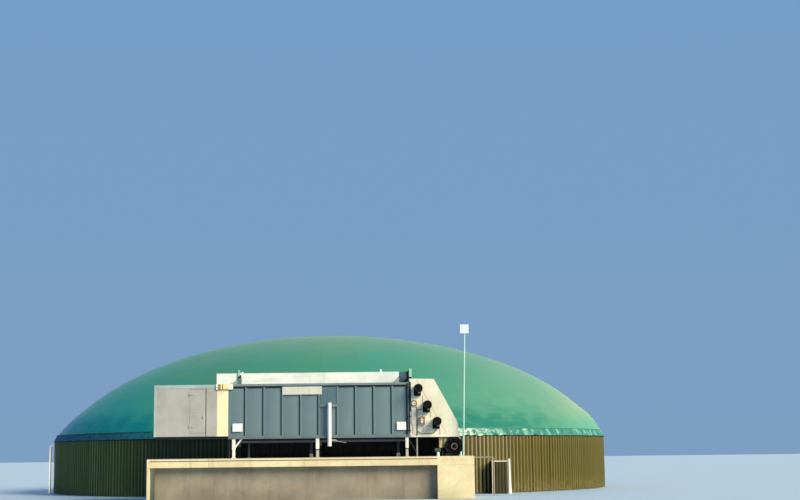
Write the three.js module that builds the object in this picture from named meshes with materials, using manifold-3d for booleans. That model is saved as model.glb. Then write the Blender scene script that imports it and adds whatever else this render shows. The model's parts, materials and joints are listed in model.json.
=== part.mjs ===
// Biogas digester: a round concrete tank with ribbed cladding and a gas membrane dome, and the
// solids feeder that serves it, on a concrete deck in front. Millimetres, +Z up. The origin is
// on the tank's axis at ground level, and the feeder stands on the -Y side.
import * as THREE from 'three';
import { mergeVertices } from 'three/addons/utils/BufferGeometryUtils.js';
import Module from 'manifold-3d';

const wasm = await Module();
wasm.setup();

// Gap left where one piece is cut to fit a curved neighbour
const SEAT_GAP = 0.3;

// Tank
const FACETS = 72;
const CLADDING_RADIUS = 14000;
const CLADDING_THICKNESS = 140;
const CLADDING_BOTTOM = 40;
const CLADDING_TOP = 2500;
const WALL_RADIUS = CLADDING_RADIUS - CLADDING_THICKNESS;
const WALL_THICKNESS = 260;
const WALL_TOP = 2640;
const FLOOR_THICKNESS = 200;
const WALL_QUARTERS = 4;

// Gas dome, its clamped seam and the skirt below it
const SEAM_RADIUS = 13720;
const SEAM_HEIGHT = 2780;
const DOME_RISE = 5030;
const DOME_SINK = 0.29;
const DOME_SHELL = 60;
const DOME_RINGS = 14;
const CLAMP_RAIL_RADIUS = 13760;
const CLAMP_RAIL_WIDTH = 100;
const SKIRT_THICKNESS = 22;
const SKIRT_DROP = 290;

// Downpipe at the tank's left side
const DOWNPIPE_ANGLE = 193;
const DOWNPIPE_RADIUS = 55;
const DOWNPIPE_TOP = 2330;
const DOWNPIPE_OFFSET = 150;

// Concrete deck
const DECK_LEFT = -6230;
const DECK_RIGHT = 6430;
const DECK_FRONT = -18600;
const DECK_BACK = -15000;
const DECK_TOP = 1630;
const DECK_SLAB = 340;
const DECK_WALL = 250;
const DECK_RECESS = 350;
const RIGHT_CORNER_WIDTH = 1430;

// Feed bin
const BIN_LEFT = -3150;
const BIN_RIGHT = 3960;
const BIN_FRONT = -18100;
const BIN_BACK = -15700;
const BIN_BOTTOM = 2377;
const BIN_TOP = 4520;
const BASE_FRAME_HEIGHT = 120;
const RIM_HEIGHT = 135;
const RIM_WIDTH = 90;
const SKIN = 30;
const FLOOR_PLATE = 30;
const RIB_DEPTH = 50;
const RIB_WIDTH = 70;
const RIB_PITCH = 719;
const FIRST_RIB = -2465;
const RIB_COUNT = 9;

// Trestles and girders below the bin
const TRESTLE_PLACES = [-2940, 340, 3840];
const LEG_WIDTH = 170;
const CROSS_BEAM_HEIGHT = 120;
const GIRDER_WIDTH = 100;
const GIRDER_BOTTOM = 2217;
const GIRDER_INSET = 300;
const LEG_INSET = 20;
const BEAM_WIDTH = 120;
const BEAM_INSET = 100;
const BRACE_REACH = 350;
const BRACE_WIDTH = 90;
const BRACE_LOW = 1930;
const BRACE_YS = [BIN_FRONT + 60, BIN_FRONT + 120];

// Guard plate along the back of the underframe
const GUARD_RIGHT = 5280;
const GUARD_THICKNESS = 20;

// Splash board above the bin's back edge
const BOARD_LEFT = -3920;
const BOARD_RIGHT = 3545;
const BOARD_TOP = 5070;
const BOARD_THICKNESS = 40;
const LUG_PLACE = 2810;
const LUG_WIDTHS = [70, 90];
const LUG_HEIGHT = 120;
const BOARD_POST_PLACE = -2980;
const BOARD_POST_TOP = 5200;
const BOARD_POST_WIDTH = 110;
const BOARD_POST_DEPTH = 60;
const BOARD_POST_BOTTOM = BIN_TOP + 60;
const GUSSET_REACH = 380;
const GUSSET_TOP = BIN_TOP + 330;
const FLAP_RIGHT = 3925;
const FLAP_TOP = 5090;
const FLAP_LEFT_TOP = 5030;
const FLAP_POST_RIGHT = 4066;
const FLAP_POST_TOP = 5190;
const FLAP_POST_STEP = 4662;

// Hydraulics housing and its door
const HOUSING_LEFT = -6070;
const HOUSING_RIGHT = -3600;
const HOUSING_BACK = -16300;
const HOUSING_BOTTOM = 2490;
const HOUSING_TOP = 4510;
const HOUSING_SHEET = 25;
const BEARER_HEIGHT = 90;
const BEARER_WIDTH = 100;
const BEARER_INSET = 60;
const BEARER_SETBACK = 120;
const DOOR_LEFT = -4670;
const DOOR_WIDTH = 630;
const DOOR_BOTTOM = 2620;
const DOOR_TOP = 4330;
const DOOR_GAP = 8;
const DOOR_THICKNESS = 25;
const HINGE_RADIUS = 14;
const HINGE_STANDOFF = 20;
const HINGE_HEIGHT = 90;
const HINGE_LUG = 16;
const HINGE_LUG_LENGTH = 60;
const SINK = 5;
const HINGE_PLACES = [2850, 4100];
const STRAP_LENGTH = 180;
const STRAP_THICKNESS = 12;
const STRAP_FOLD = 40;
const HANDLE_WIDTH = 50;
const HANDLE_PLACE = DOOR_LEFT + DOOR_WIDTH - 90;
const HANDLE_REACH = 45;
const HANDLE_ZS = [3180, 3330];

// Cylinder post between housing and bin
const CYLINDER_POST_TOP = 4330;
const CYLINDER_POST_DEPTH = 400;
const POST_BRACKET_THICKNESS = 60;
const POST_BRACKET_OVERHANG = 180;

// Discharge housing and what it carries
const DISCHARGE_OUTLINE = [[3960, 2377], [5895, 2377], [5825, 2960], [4925, 4640], [3960, 4660]];
const MOTOR_PLACES = [[4270, 4200], [4620, 3555], [4990, 2915]];
const MOTOR_AXIS = [36, 67];
const MOTOR_RADIUS = 168;
const MOTOR_DEPTH = 320;
const GEARBOX_RADIUS = 176;
const GEARBOX_DEPTH = 150;
const GEARBOX_XS = [-148, 138];
const GEARBOX_ZS = [-222, 60];
const TERMINAL_XS = [-80, 85];
const TERMINAL_ZS = [-165, 20];
const TERMINAL_SETBACK = 90;
const BEARING = { x: 4130, z: 3690, radius: 130, depth: 80 };
const JUNCTION_XS = [4320, 4550];
const JUNCTION_ZS = [2860, 3160];
const JUNCTION_DEPTH = 120;
const PROP_PLACE = 4230;
const PROP_RADIUS = 30;

// Feed screw from the chute to the tank
const SCREW_X = 5685;
const SCREW_Z = 2005;
const SCREW_RADIUS = 250;
const SCREW_FRONT = -18100;
const SCREW_BACK = -12000;
const FLANGE_RADIUS = 370;
const FLANGE_THICKNESS = 60;
const HUB_RADIUS = 130;
const HUB_DEPTH = 60;
const STAND_WIDTH = 200;
const STAND_DEPTH = 120;
const CHUTE_LEFT = 5080;
const CHUTE_RIGHT = 5600;
const CHUTE_BOTTOM = 1960;
const CHUTE_YS = [-17990, -17450];
const PUMP_X = 5050;
const PUMP_Y = -18030;
const PUMP_STEM_WIDTH = 120;
const PUMP_BOTTOM = 1780;
const PUMP_TOP = 1950;
const PUMP_WIDTH = 240;
const PUMP_DEPTH = 180;

// Tube and name board on the bin's front
const TUBE_X = 820;
const TUBE_RADIUS = 85;
const TUBE_STANDOFF = 15;
const TUBE_ZS = [2060, 3745];
const TUBE_BRACKET_XS = [440, 1190];
const TUBE_BRACKET_ZS = [3590, 3700];
const TUBE_BRACKET_DEPTH = 20;
const NAME_BOARD_XS = [-1030, 520];
const NAME_BOARD_ZS = [4085, 4395];
const NAME_BOARD_THICKNESS = 12;

// Work light, on a pole that leans a little to the right
const LIGHT_Y = -18300;
const LIGHT_POLE_FOOT = 6025;
const LIGHT_POLE_HEAD = 6140;
const LIGHT_POLE_RADIUS = 40;
const LIGHT_POLE_TOP = 6390;
const LIGHT_HEAD_XS = [5975, 6310];
const LIGHT_HEAD_DEPTH = 120;
const LIGHT_HEAD_TOP = 6750;

// Pieces beside the deck at the tank wall
const RAIL_RADIUS = 25;
const RAIL_HEIGHT = 1560;
const RAIL_END = 7400;
const RAIL_Y = -15200;
const RAIL_BEND = 120;
const SERVICE_BOX_X = [7490, 8150];
const SERVICE_BOX_FRONT = -12500;
const SERVICE_BOX_BACK = -11000;
const SERVICE_BOX_TOP = 1400;
const VENT_RADIUS = 95;
const VENT_COLLAR = 60;
const VENT_TOP = 1480;
const VENT_SETBACK = 200;

function finish(color, roughness, metalness) {
  return new THREE.MeshStandardMaterial({ color, roughness, metalness });
}

const CONCRETE = finish(0xcbbfa3, 0.9, 0);
const DARK_CONCRETE = finish(0x8d8474, 0.9, 0);
const CLADDING_GREEN = finish(0x5d5f33, 0.5, 0.1);
const MEMBRANE_GREEN = finish(0x2f8f76, 0.45, 0);
const GALVANISED = finish(0x9a9993, 0.5, 0.8);
const BIN_BLUE = finish(0x5f7880, 0.5, 0.1);
const CREAM_PAINT = finish(0xe6dcba, 0.5, 0);
const WHITE_PAINT = finish(0xe9e9e4, 0.45, 0);
const DARK_STEEL = finish(0x20262c, 0.5, 0.3);
const MOTOR_BLACK = finish(0x17191b, 0.4, 0.2);
const PUMP_GREEN = finish(0x4b7a5e, 0.45, 0.1);

const digester = new THREE.Group();

function add(name, geometry, material) {
  const mesh = new THREE.Mesh(geometry, material);
  mesh.name = name;
  digester.add(mesh);
}

// A box between two corners on each axis
function boxGeometry([x0, x1], [y0, y1], [z0, z1]) {
  const geometry = new THREE.BoxGeometry(x1 - x0, y1 - y0, z1 - z0);
  return geometry.translate((x0 + x1) / 2, (y0 + y1) / 2, (z0 + z1) / 2);
}

// The range of a given width about a middle
function about(middle, width) {
  return [middle - width / 2, middle + width / 2];
}

// A plan outline, drawn in X and Y, raised between two heights
function planGeometry(shape, [z0, z1]) {
  const geometry = new THREE.ExtrudeGeometry(shape, { depth: z1 - z0, bevelEnabled: false });
  return geometry.translate(0, 0, z0);
}

// A front outline, drawn in X and Z, given its depth along Y
function frontGeometry(points, [y0, y1]) {
  const shape = new THREE.Shape(points.map(([x, z]) => new THREE.Vector2(x, z)));
  const geometry = new THREE.ExtrudeGeometry(shape, { depth: y1 - y0, bevelEnabled: false });
  return geometry.rotateX(Math.PI / 2).translate(0, y1, 0);
}

function rectangle([x0, x1], [y0, y1], Kind = THREE.Shape) {
  const corners = [[x0, y0], [x1, y0], [x1, y1], [x0, y1]];
  return new Kind(corners.map(([x, y]) => new THREE.Vector2(x, y)));
}

// A rectangular ring of bars of one width
function frameGeometry(xs, ys, width, zs) {
  const shape = rectangle(xs, ys);
  const inner = rectangle([xs[0] + width, xs[1] - width], [ys[0] + width, ys[1] - width], THREE.Path);
  shape.holes.push(inner);
  return planGeometry(shape, zs);
}

// A cylinder along Y, from its front to its back
function drumGeometry(x, z, radius, [y0, y1], sides) {
  const geometry = new THREE.CylinderGeometry(radius, radius, y1 - y0, sides);
  return geometry.translate(x, (y0 + y1) / 2, z);
}

// Turns a profile drawn in radius and height about the tank's upright axis
function turnedGeometry(profile, sides) {
  const points = profile.map(([r, z]) => new THREE.Vector2(r, z));
  return new THREE.LatheGeometry(points, sides).rotateX(Math.PI / 2);
}

function polar(radius, angle) {
  return new THREE.Vector2(radius * Math.cos(angle), radius * Math.sin(angle));
}

function toSolid(geometry) {
  const bare = geometry.clone();
  bare.deleteAttribute('normal');
  bare.deleteAttribute('uv');
  const merged = mergeVertices(bare, 1e-3);
  const vertProperties = new Float32Array(merged.attributes.position.array);
  const triVerts = new Uint32Array(merged.index.array);
  return new wasm.Manifold(new wasm.Mesh({ numProp: 3, vertProperties, triVerts }));
}

function toGeometry(solid) {
  const { vertProperties, triVerts } = solid.getMesh();
  const geometry = new THREE.BufferGeometry();
  geometry.setAttribute('position', new THREE.BufferAttribute(vertProperties, 3));
  geometry.setIndex(new THREE.BufferAttribute(triVerts, 1));
  geometry.computeVertexNormals();
  return geometry;
}

function joined(...geometries) {
  return toGeometry(geometries.map(toSolid).reduce((sum, next) => sum.add(next)));
}

function cut(geometry, ...tools) {
  return toGeometry(tools.map(toSolid).reduce((rest, tool) => rest.subtract(tool), toSolid(geometry)));
}

// The room that the clad tank takes, for pieces that are cut to meet its wall
function tankRoomGeometry() {
  const circle = new THREE.Shape();
  const points = [];
  for (let i = 0; i < FACETS; i += 1) {
    points.push(polar(CLADDING_RADIUS + 2 * SEAT_GAP, (i / FACETS) * 2 * Math.PI));
  }
  circle.setFromPoints(points);
  return planGeometry(circle, [-100, CLADDING_TOP]);
}

// One sector of a round wall
function sectorGeometry(inner, outer, start, sweep, zs) {
  const steps = Math.round((FACETS * sweep) / (2 * Math.PI));
  const trim = SEAT_GAP / outer;
  const outerArc = [];
  const innerArc = [];
  for (let i = 0; i <= steps; i += 1) {
    let angle = start + (sweep * i) / steps;
    if (i === 0) angle += trim;
    if (i === steps) angle -= trim;
    outerArc.push(polar(outer, angle));
    innerArc.unshift(polar(inner, angle));
  }
  return planGeometry(new THREE.Shape([...outerArc, ...innerArc]), zs);
}

function buildTank() {
  const floorDisc = new THREE.CylinderGeometry(WALL_RADIUS, WALL_RADIUS, FLOOR_THICKNESS, FACETS);
  floorDisc.rotateX(Math.PI / 2).translate(0, 0, FLOOR_THICKNESS / 2);
  add('floor_slab', floorDisc, CONCRETE);

  const sweep = (2 * Math.PI) / WALL_QUARTERS;
  for (let i = 0; i < WALL_QUARTERS; i += 1) {
    const inner = WALL_RADIUS - WALL_THICKNESS;
    const wall = sectorGeometry(inner, WALL_RADIUS, i * sweep, sweep, [FLOOR_THICKNESS, WALL_TOP]);
    add(`tank_wall_${i + 1}`, wall, CONCRETE);
    const zs = [CLADDING_BOTTOM, CLADDING_TOP];
    const cladding = sectorGeometry(WALL_RADIUS + SEAT_GAP, CLADDING_RADIUS, i * sweep, sweep, zs);
    add(`cladding_${i + 1}`, cladding, CLADDING_GREEN);
  }

  const railInner = CLAMP_RAIL_RADIUS - CLAMP_RAIL_WIDTH;
  const rail = [
    [railInner, WALL_TOP], [CLAMP_RAIL_RADIUS, WALL_TOP],
    [CLAMP_RAIL_RADIUS, SEAM_HEIGHT], [railInner, SEAM_HEIGHT], [railInner, WALL_TOP],
  ];
  add('clamp_rail', turnedGeometry(rail, FACETS), GALVANISED);
  add('gas_dome', domeGeometry(), MEMBRANE_GREEN);
  add('skirt', skirtGeometry(), MEMBRANE_GREEN);
  add('downpipe', downpipeGeometry(), WHITE_PAINT);
}

// A flattened cap of an ellipse, from the seam to the crown, as a thin shell
function domeGeometry() {
  const height = DOME_RISE / (1 - DOME_SINK);
  const sink = height * DOME_SINK;
  const reach = SEAM_RADIUS / Math.sqrt(1 - DOME_SINK ** 2);
  const firstAngle = Math.asin(DOME_SINK);
  const outer = [];
  const inner = [];
  for (let i = 0; i <= DOME_RINGS; i += 1) {
    const angle = firstAngle + ((Math.PI / 2 - firstAngle) * i) / DOME_RINGS;
    const r = i === DOME_RINGS ? 0 : reach * Math.cos(angle);
    const z = SEAM_HEIGHT - sink + height * Math.sin(angle);
    outer.push([r, i === 0 ? SEAM_HEIGHT : z]);
    const share = Math.cos(angle);
    const innerZ = i === 0 ? SEAM_HEIGHT : z - DOME_SHELL * (1 - share / 2);
    inner.unshift([Math.max(r - DOME_SHELL * share, 0), innerZ]);
  }
  return turnedGeometry([...inner, ...outer], FACETS);
}

// The membrane's hem, which lies on the clamp rail and hangs over the cladding's top edge
function skirtGeometry() {
  const hemInner = CLADDING_RADIUS + 4;
  const railEdge = CLAMP_RAIL_RADIUS + 4;
  const lip = SEAM_RADIUS + 4;
  const bottom = SEAM_HEIGHT - SKIRT_DROP;
  const profile = [
    [lip, SEAM_HEIGHT + SEAT_GAP], [railEdge, SEAM_HEIGHT + SEAT_GAP],
    [hemInner, CLADDING_TOP + 20], [hemInner + 2, bottom],
    [hemInner + 2 + SKIRT_THICKNESS, bottom], [hemInner + SKIRT_THICKNESS, CLADDING_TOP + 30],
    [railEdge + SKIRT_THICKNESS, SEAM_HEIGHT + 16], [lip, SEAM_HEIGHT + 16],
    [lip, SEAM_HEIGHT + SEAT_GAP],
  ];
  return turnedGeometry(profile, FACETS);
}

// Out of the wall below the skirt, round an elbow and down to the ground
function downpipeGeometry() {
  const angle = THREE.MathUtils.degToRad(DOWNPIPE_ANGLE);
  const at = (radius, z) => {
    const { x, y } = polar(radius, angle);
    return new THREE.Vector3(x, y, z);
  };
  const axis = CLADDING_RADIUS + DOWNPIPE_OFFSET;
  const path = new THREE.CurvePath();
  const bend = DOWNPIPE_OFFSET * 0.8;
  path.add(new THREE.LineCurve3(at(CLADDING_RADIUS - 60, DOWNPIPE_TOP), at(axis - bend, DOWNPIPE_TOP)));
  const corner = at(axis, DOWNPIPE_TOP);
  const belowBend = at(axis, DOWNPIPE_TOP - bend);
  path.add(new THREE.QuadraticBezierCurve3(at(axis - bend, DOWNPIPE_TOP), corner, belowBend));
  path.add(new THREE.LineCurve3(belowBend, at(axis, 0)));
  const section = new THREE.Shape().absarc(0, 0, DOWNPIPE_RADIUS, 0, 2 * Math.PI);
  const settings = { steps: 18, extrudePath: path, curveSegments: 5, bevelEnabled: false };
  return cut(new THREE.ExtrudeGeometry(section, settings), tankRoomGeometry());
}

function buildDeck() {
  const wallTop = DECK_TOP - DECK_SLAB;
  const cornerLeft = DECK_RIGHT - RIGHT_CORNER_WIDTH;
  const rightInner = DECK_RIGHT - DECK_WALL;
  const leftInner = DECK_LEFT + DECK_WALL;
  const wallFront = DECK_FRONT + DECK_RECESS;
  const slabYs = [DECK_FRONT, DECK_BACK];
  add('deck_slab', boxGeometry([DECK_LEFT, DECK_RIGHT], slabYs, [wallTop, DECK_TOP]), CONCRETE);
  const frontWall = boxGeometry([leftInner, cornerLeft], [wallFront, wallFront + DECK_WALL], [0, wallTop]);
  add('deck_front_wall', frontWall, DARK_CONCRETE);
  const corner = [
    [cornerLeft, DECK_FRONT], [DECK_RIGHT, DECK_FRONT], [DECK_RIGHT, DECK_BACK],
    [rightInner, DECK_BACK], [rightInner, wallFront + DECK_WALL], [cornerLeft, wallFront + DECK_WALL],
  ];
  const cornerShape = new THREE.Shape(corner.map(([x, y]) => new THREE.Vector2(x, y)));
  add('deck_right_wall', planGeometry(cornerShape, [0, wallTop]), CONCRETE);
  const leftWall = boxGeometry([DECK_LEFT, leftInner], [wallFront + DECK_WALL, DECK_BACK], [0, wallTop]);
  add('deck_left_wall', leftWall, CONCRETE);
  const pillar = boxGeometry([DECK_LEFT, DECK_LEFT + 110], [DECK_FRONT, DECK_FRONT + 180], [0, wallTop]);
  add('deck_left_pillar', pillar, CONCRETE);
  const backWall = boxGeometry([leftInner, rightInner], [DECK_BACK - DECK_WALL, DECK_BACK], [0, wallTop]);
  add('deck_back_wall', backWall, CONCRETE);
}

// Skin with upright ribs, in plan: side is -1 for the front wall and 1 for the back wall
function ribbedWallGeometry(side, outerY, zs) {
  const skinOuter = outerY - side * RIB_DEPTH;
  const skinInner = skinOuter - side * SKIN;
  const ribs = [BIN_LEFT + RIB_WIDTH / 2];
  for (let i = 0; i < RIB_COUNT; i += 1) ribs.push(FIRST_RIB + i * RIB_PITCH);
  ribs.push(BIN_RIGHT - RIB_WIDTH / 2);
  const points = [[BIN_LEFT, skinInner]];
  for (const x of ribs) {
    const [x0, x1] = [x - RIB_WIDTH / 2, x + RIB_WIDTH / 2];
    if (x0 > BIN_LEFT) points.push([x0, skinOuter]);
    points.push([x0, outerY], [x1, outerY]);
    if (x1 < BIN_RIGHT) points.push([x1, skinOuter]);
  }
  points.push([BIN_RIGHT, skinInner]);
  if (side < 0) points.reverse();
  return planGeometry(new THREE.Shape(points.map(([x, y]) => new THREE.Vector2(x, y))), zs);
}

function buildBin() {
  const xs = [BIN_LEFT, BIN_RIGHT];
  const ys = [BIN_FRONT, BIN_BACK];
  const baseTop = BIN_BOTTOM + BASE_FRAME_HEIGHT;
  const rimBottom = BIN_TOP - RIM_HEIGHT;
  const skinDepth = RIB_DEPTH + SKIN;
  const insideYs = [BIN_FRONT + skinDepth, BIN_BACK - skinDepth];
  const insideXs = [BIN_LEFT + SKIN, BIN_RIGHT - SKIN];
  add('bin_base_frame', frameGeometry(xs, ys, BASE_FRAME_HEIGHT, [BIN_BOTTOM, baseTop]), BIN_BLUE);
  add('bin_floor', boxGeometry(insideXs, insideYs, [baseTop, baseTop + FLOOR_PLATE]), GALVANISED);
  add('bin_front_wall', ribbedWallGeometry(-1, BIN_FRONT, [baseTop, rimBottom]), BIN_BLUE);
  add('bin_back_wall', ribbedWallGeometry(1, BIN_BACK, [baseTop, rimBottom]), BIN_BLUE);
  add('bin_left_wall', boxGeometry([BIN_LEFT, insideXs[0]], insideYs, [baseTop, rimBottom]), BIN_BLUE);
  add('bin_right_wall', boxGeometry([insideXs[1], BIN_RIGHT], insideYs, [baseTop, rimBottom]), BIN_BLUE);
  add('bin_rim', frameGeometry(xs, ys, RIM_WIDTH, [rimBottom, BIN_TOP]), BIN_BLUE);
}

function buildUnderframe() {
  const legZs = [DECK_TOP, BIN_BOTTOM];
  const frontLeg = BIN_FRONT + LEG_INSET;
  const backLeg = BIN_BACK - LEG_INSET;
  const beamZs = [GIRDER_BOTTOM - CROSS_BEAM_HEIGHT, GIRDER_BOTTOM];
  TRESTLE_PLACES.forEach((x, i) => {
    const legXs = about(x, LEG_WIDTH);
    const pieces = [
      boxGeometry(legXs, [frontLeg, frontLeg + LEG_WIDTH], legZs),
      boxGeometry(legXs, [backLeg - LEG_WIDTH, backLeg], legZs),
      boxGeometry(about(x, BEAM_WIDTH), [BIN_FRONT + BEAM_INSET, BIN_BACK - BEAM_INSET], beamZs),
    ];
    if (i === 0) {
      const brace = [
        [x, BRACE_LOW + BRACE_WIDTH], [x, BRACE_LOW],
        [x + BRACE_REACH, BIN_BOTTOM], [x + BRACE_REACH - BRACE_WIDTH, BIN_BOTTOM],
      ];
      pieces.push(frontGeometry(brace, BRACE_YS));
    }
    add(`trestle_${i + 1}`, joined(...pieces), WHITE_PAINT);
  });
  const guardLeft = TRESTLE_PLACES[0] - LEG_WIDTH / 2;
  const guard = boxGeometry([guardLeft, GUARD_RIGHT], [backLeg, backLeg + GUARD_THICKNESS], legZs);
  add('rear_guard', guard, DARK_STEEL);
  const girderXs = [BIN_LEFT + BASE_FRAME_HEIGHT, BIN_RIGHT - BASE_FRAME_HEIGHT];
  const girderZs = [GIRDER_BOTTOM, BIN_BOTTOM + BASE_FRAME_HEIGHT];
  const frontYs = [BIN_FRONT + GIRDER_INSET, BIN_FRONT + GIRDER_INSET + GIRDER_WIDTH];
  const backYs = [BIN_BACK - GIRDER_INSET - GIRDER_WIDTH, BIN_BACK - GIRDER_INSET];
  add('girder_front', boxGeometry(girderXs, frontYs, girderZs), DARK_STEEL);
  add('girder_back', boxGeometry(girderXs, backYs, girderZs), DARK_STEEL);
}

function buildSplashBoard() {
  const boardFront = BIN_BACK - RIM_WIDTH;
  const boardYs = [boardFront, boardFront + BOARD_THICKNESS];
  const board = [
    [BOARD_LEFT, BIN_TOP], [BOARD_RIGHT, BIN_TOP], [BOARD_RIGHT, BOARD_TOP],
    [LUG_PLACE + LUG_WIDTHS[1], BOARD_TOP], [LUG_PLACE, BOARD_TOP + LUG_HEIGHT],
    [LUG_PLACE - LUG_WIDTHS[0], BOARD_TOP], [BOARD_LEFT, BOARD_TOP],
  ];
  add('splash_board', frontGeometry(board, boardYs), WHITE_PAINT);
  const [postLeft, postRight] = about(BOARD_POST_PLACE, BOARD_POST_WIDTH);
  const post = [
    [BOARD_POST_PLACE - GUSSET_REACH, BOARD_POST_BOTTOM], [postRight, BOARD_POST_BOTTOM],
    [postRight, BOARD_POST_TOP], [postLeft, BOARD_POST_TOP], [postLeft, GUSSET_TOP],
  ];
  add('board_post', frontGeometry(post, [boardFront - BOARD_POST_DEPTH, boardFront]), WHITE_PAINT);
  const flap = [
    [BOARD_RIGHT, BIN_TOP], [FLAP_RIGHT, BIN_TOP], [FLAP_RIGHT, FLAP_TOP], [BOARD_RIGHT, FLAP_LEFT_TOP],
  ];
  add('flap', frontGeometry(flap, [boardYs[0], BIN_BACK]), BIN_BLUE);
  const flapPost = [
    [FLAP_RIGHT, BIN_TOP], [BIN_RIGHT, BIN_TOP], [BIN_RIGHT, FLAP_POST_STEP],
    [FLAP_POST_RIGHT, FLAP_POST_STEP], [FLAP_POST_RIGHT, FLAP_POST_TOP], [FLAP_RIGHT, FLAP_POST_TOP],
  ];
  add('flap_post', frontGeometry(flapPost, boardYs), WHITE_PAINT);
}

function buildHydraulics() {
  const xs = [HOUSING_LEFT, HOUSING_RIGHT];
  const ys = [BIN_FRONT, HOUSING_BACK];
  const zs = [HOUSING_BOTTOM, HOUSING_TOP];
  const shrink = ([a, b], by) => [a + by, b - by];
  const bearerZs = [HOUSING_BOTTOM - BEARER_HEIGHT, HOUSING_BOTTOM];
  const bearerYs = [BIN_FRONT + BEARER_SETBACK, HOUSING_BACK - BEARER_INSET];
  const bearer = frameGeometry([HOUSING_LEFT + BEARER_INSET, BIN_LEFT], bearerYs, BEARER_WIDTH, bearerZs);
  add('housing_bearer', bearer, DARK_STEEL);

  const doorHole = boxGeometry(
    [DOOR_LEFT, DOOR_LEFT + DOOR_WIDTH],
    [BIN_FRONT - SINK, BIN_FRONT + 2 * HOUSING_SHEET],
    [DOOR_BOTTOM, DOOR_TOP],
  );
  const room = boxGeometry(...[xs, ys, zs].map((range) => shrink(range, HOUSING_SHEET)));
  const shell = toSolid(boxGeometry(xs, ys, zs)).subtract(toSolid(room)).subtract(toSolid(doorHole));
  const axisY = BIN_FRONT - HINGE_STANDOFF;
  const lugYs = [axisY - HINGE_RADIUS, BIN_FRONT + SINK];
  const lugs = HINGE_PLACES.map((z) => {
    const lug = joined(
      boxGeometry([DOOR_LEFT - HINGE_LUG_LENGTH, DOOR_LEFT], lugYs, [z - HINGE_LUG, z]),
      pinGeometry(DOOR_LEFT, axisY, HINGE_RADIUS, [z - HINGE_LUG, z]),
    );
    return toSolid(lug);
  });
  const housing = lugs.reduce((sum, lug) => sum.add(lug), shell);
  add('hydraulics_housing', toGeometry(housing), GALVANISED);

  const leaf = boxGeometry(
    [DOOR_LEFT + DOOR_GAP, DOOR_LEFT + DOOR_WIDTH - DOOR_GAP],
    [BIN_FRONT, BIN_FRONT + DOOR_THICKNESS],
    [DOOR_BOTTOM + DOOR_GAP, DOOR_TOP - DOOR_GAP],
  );
  const strapEnd = DOOR_LEFT + STRAP_LENGTH;
  const strapFront = axisY - STRAP_THICKNESS / 2;
  const straps = HINGE_PLACES.flatMap((z) => {
    const knuckleZs = [z + SEAT_GAP, z + HINGE_HEIGHT];
    return [
      pinGeometry(DOOR_LEFT, axisY, HINGE_RADIUS, knuckleZs),
      boxGeometry([DOOR_LEFT, strapEnd], about(axisY, STRAP_THICKNESS), knuckleZs),
      boxGeometry([DOOR_LEFT + STRAP_FOLD, strapEnd], [strapFront, BIN_FRONT + SINK], knuckleZs),
    ];
  });
  const handleYs = [BIN_FRONT - HANDLE_REACH, BIN_FRONT + SINK];
  const handle = boxGeometry(about(HANDLE_PLACE, HANDLE_WIDTH), handleYs, HANDLE_ZS);
  add('access_door', joined(leaf, ...straps, handle), GALVANISED);
}

// An upright round pin or pole
function pinGeometry(x, y, radius, [z0, z1], sides = 16) {
  const geometry = new THREE.CylinderGeometry(radius, radius, z1 - z0, sides);
  return geometry.rotateX(Math.PI / 2).translate(x, y, (z0 + z1) / 2);
}

function buildCylinderPost() {
  const xs = [HOUSING_RIGHT, BIN_LEFT];
  const zs = [HOUSING_BOTTOM, CYLINDER_POST_TOP];
  const post = boxGeometry(xs, [BIN_FRONT, BIN_FRONT + CYLINDER_POST_DEPTH], zs);
  add('cylinder_post', post, CREAM_PAINT);
  const bracket = boxGeometry(
    [HOUSING_RIGHT - 30, BIN_LEFT + POST_BRACKET_OVERHANG],
    [BIN_FRONT - POST_BRACKET_THICKNESS, BIN_FRONT],
    [CYLINDER_POST_TOP - 20, BIN_TOP],
  );
  add('post_bracket', bracket, CREAM_PAINT);
}

function buildDischarge() {
  add('discharge_housing', frontGeometry(DISCHARGE_OUTLINE, [BIN_FRONT, BIN_BACK]), CREAM_PAINT);
  const gearboxYs = [BIN_FRONT - GEARBOX_DEPTH, BIN_FRONT];
  const motorYs = [gearboxYs[0] - MOTOR_DEPTH, gearboxYs[0]];
  const terminalYs = [motorYs[0] + TERMINAL_SETBACK, motorYs[1] - TERMINAL_SETBACK / 3];
  MOTOR_PLACES.forEach(([x, z], i) => {
    const [axisX, axisZ] = [x + MOTOR_AXIS[0], z + MOTOR_AXIS[1]];
    const place = (range, middle) => range.map((offset) => offset + middle);
    const motor = joined(
      boxGeometry(place(GEARBOX_XS, x), gearboxYs, place(GEARBOX_ZS, z)),
      drumGeometry(axisX, axisZ, GEARBOX_RADIUS, gearboxYs, 20),
      drumGeometry(axisX, axisZ, MOTOR_RADIUS, motorYs, 20),
      boxGeometry(place(TERMINAL_XS, x), terminalYs, place(TERMINAL_ZS, z)),
    );
    add(`gear_motor_${i + 1}`, motor, MOTOR_BLACK);
  });
  const bearingYs = [BIN_FRONT - BEARING.depth, BIN_FRONT];
  add('bearing', drumGeometry(BEARING.x, BEARING.z, BEARING.radius, bearingYs, 20), CREAM_PAINT);
  const junctionBox = boxGeometry(JUNCTION_XS, [BIN_FRONT - JUNCTION_DEPTH, BIN_FRONT], JUNCTION_ZS);
  add('junction_box', junctionBox, CREAM_PAINT);
  const prop = pinGeometry(PROP_PLACE, BIN_FRONT + 2 * PROP_RADIUS, PROP_RADIUS, [DECK_TOP, BIN_BOTTOM], 12);
  add('housing_prop', prop, GALVANISED);
}

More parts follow.
